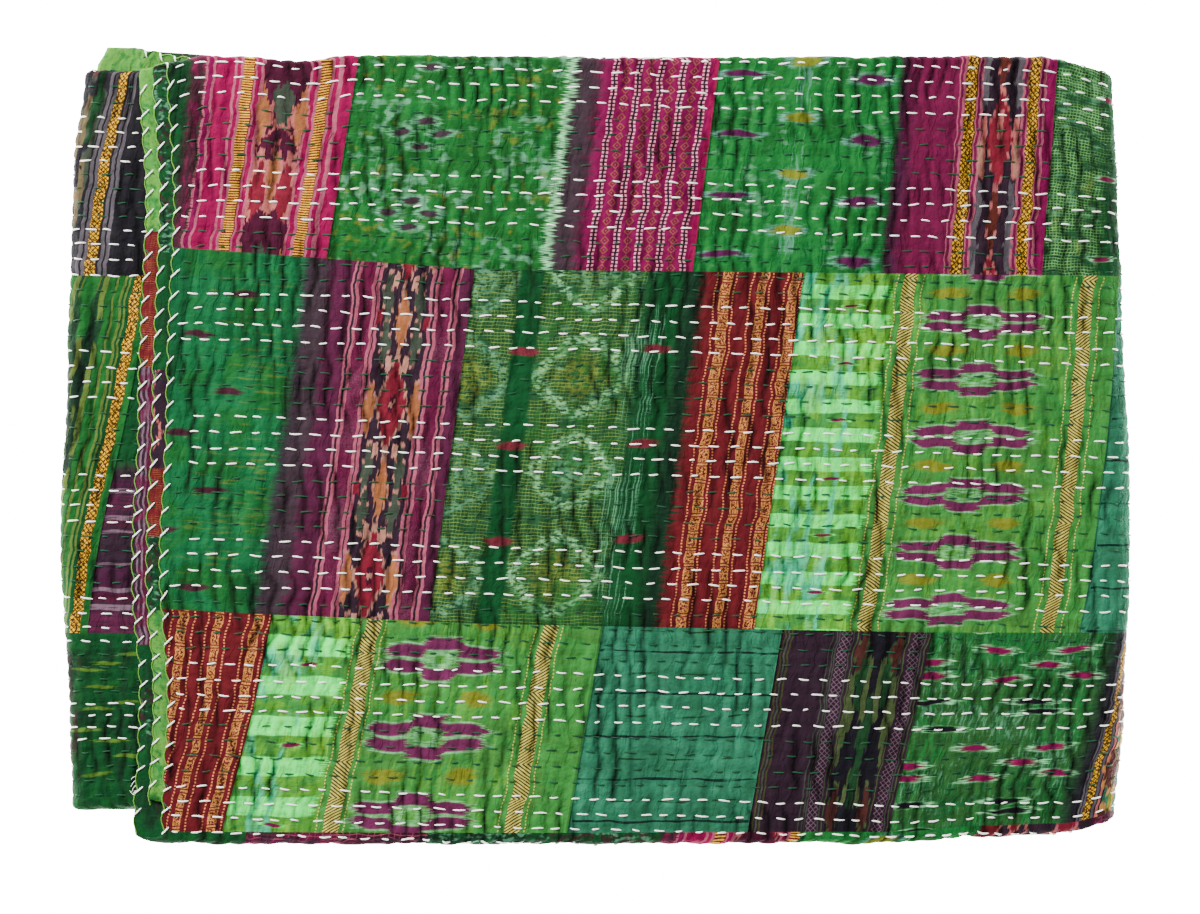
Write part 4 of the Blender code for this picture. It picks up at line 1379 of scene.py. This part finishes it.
white_whips = new_thread("white_whip_stitch", 0.74 * MM)
green_whips = new_thread("green_whip_stitch", 0.6 * MM)
edge_line = new_thread("edge_thread", 0.55 * MM)
Edge = namedtuple("Edge", "start end side place lean")
SIDE_EDGES = [
    Edge(V_CREASE - 2 * MM, V_TOP + 2 * MM, 1, lambda along, off: (off, along), 1),
    Edge(2 * MM, V_BOTTOM - 6 * MM, -1, lambda along, off: (off, along), -1),
    Edge(V_INNER + 6 * MM, WIDTH - 2 * MM, -1, lambda along, off: (off, along), -1),
    Edge(TURN_OUT, LIP_END - 18 * MM, -1, lambda along, off: (along, off), 1),
]
for edge in SIDE_EDGES:
    first, last = math.ceil(edge.start / WHIP_PITCH), math.floor(edge.end / WHIP_PITCH)
    for number in range(first, last + 1):
        along = whip_place(number)
        reach = hand.uniform(6.5, 9.0) * MM
        rise = hand.uniform(6.0, 9.0) * MM * edge.lean
        spots = ((1.0, 1.0, -0.6), (0.75, 0.78, 0.6), (0.35, 0.4, 0.85), (0.06, 0.08, 0.7))
        points = []
        for off, up, lift in spots:
            u, v = edge.place(along + rise * (up - 0.5), reach * off)
            points.append(on_cloth(u, v, lift * MM, edge.side))
        for off, up, lift in ((0.0, -0.1, 0.2), (0.2, -0.2, 0.5), (0.5, -0.3, -0.4)):
            u, v = edge.place(along + rise * (up - 0.5), reach * off + 0.2 * MM)
            points.append(on_cloth(u, v, lift * MM, -edge.side))
        lay(white_whips, points, (0.6, 1.0, 1.05, 1.0, 0.9, 0.9, 0.6))
        if hand.random() < 0.4:
            points = []
            for off, up, lift in ((1.1, -0.3, -0.5), (0.8, 0.0, 0.6), (0.4, 0.4, 0.9), (0.05, 0.7, 0.5)):
                u, v = edge.place(along + rise * (up + 0.1), reach * off)
                points.append(on_cloth(u, v, lift * MM, edge.side))
            lay(green_whips, points, (0.6, 1.0, 1.0, 0.6))
        points = []
        for share in (0.0, 0.15, 0.35, 0.55, 0.75, 0.9, 1.0):
            spot = whip_place(number) + (whip_place(number + 1) - whip_place(number)) * share
            off = (1.6 - 1.3 * math.sin(math.pi * share)) * MM
            u, v = edge.place(spot, off)
            points.append(on_cloth(u, v, 0.55 * MM, edge.side))
        lay(edge_line, points, (1.0,) * 7)
white_whip_stitch = sewn_piece(white_whips, white_cotton)
green_whip_stitch = sewn_piece(green_whips, green_cotton)
edge_thread = sewn_piece(edge_line, edge_cotton)

# ---- The frayed corner ----
# Low on the left a few ends of white cotton hang loose from the lowest panel's whipped edge.

loose = new_thread("frayed_ends", 0.28 * MM)
for number in range(5):
    start = on_cloth(0.5 * MM, (662 + number * 4.3) * MM, 0.5 * MM, -1)
    reach, drop = hand.uniform(3.0, 7.0) * MM, hand.uniform(-6.0, 4.0) * MM
    points = [
        start + Vector((-reach * share, drop * share * share, hand.uniform(-0.4, 0.4) * MM))
        for share in (0.0, 0.25, 0.5, 0.75, 1.0)
    ]
    lay(loose, points, (1.0, 1.0, 0.9, 0.8, 0.5))
frayed_ends = sewn_piece(loose, white_cotton)

# ---- The floor, the light and the camera ----
# The quilt lies on a pale floor under soft light, seen from straight above.

ground = bmesh.new()
bmesh.ops.create_grid(ground, x_segments=8, y_segments=8, size=3.0)
bmesh.ops.translate(ground, verts=ground.verts, vec=(0, 0, -0.8 * MM))
floor_mesh = bpy.data.meshes.new("floor")
ground.to_mesh(floor_mesh)
ground.free()
floor = bpy.data.objects.new("floor", floor_mesh)
bpy.context.scene.collection.objects.link(floor)
paper = bpy.data.materials.new("pale_floor")
paper.use_nodes = True
paper.node_tree.nodes["Principled BSDF"].inputs["Base Color"].default_value = (0.93, 0.93, 0.93, 1)
paper.node_tree.nodes["Principled BSDF"].inputs["Roughness"].default_value = 0.9
paper.node_tree.nodes["Principled BSDF"].inputs["Emission Color"].default_value = (1, 1, 1, 1)
paper.node_tree.nodes["Principled BSDF"].inputs["Emission Strength"].default_value = 18.0
floor_mesh.materials.append(paper)

world = bpy.data.worlds.new("studio")
world.use_nodes = True
world.node_tree.nodes["Background"].inputs["Color"].default_value = (1, 1, 1, 1)
world.node_tree.nodes["Background"].inputs["Strength"].default_value = 0.84
bpy.context.scene.world = world
for name, place, size, power in (
    ("window", (-1.9, 1.6, 1.75), 0.9, 287), ("fill", (1.8, -1.2, 2.2), 2.2, 22),
):
    lamp = bpy.data.lights.new(name, "AREA")
    lamp.size = size
    lamp.energy = power
    light = bpy.data.objects.new(name, lamp)
    light.location = place
    light.rotation_euler = (Vector((0, 0, 0)) - Vector(place)).to_track_quat("-Z", "Y").to_euler()
    bpy.context.scene.collection.objects.link(light)

VIEW_WIDTH = 1104 * MM  # at the height of the quilt's top
lens = bpy.data.cameras.new("camera")
lens.lens = 85
lens.sensor_width = 36
camera = bpy.data.objects.new("camera", lens)
camera.location = (5.1 * MM, -11.5 * MM, 39 * MM + VIEW_WIDTH * 85 / 36)
bpy.context.scene.collection.objects.link(camera)
bpy.context.scene.camera = camera
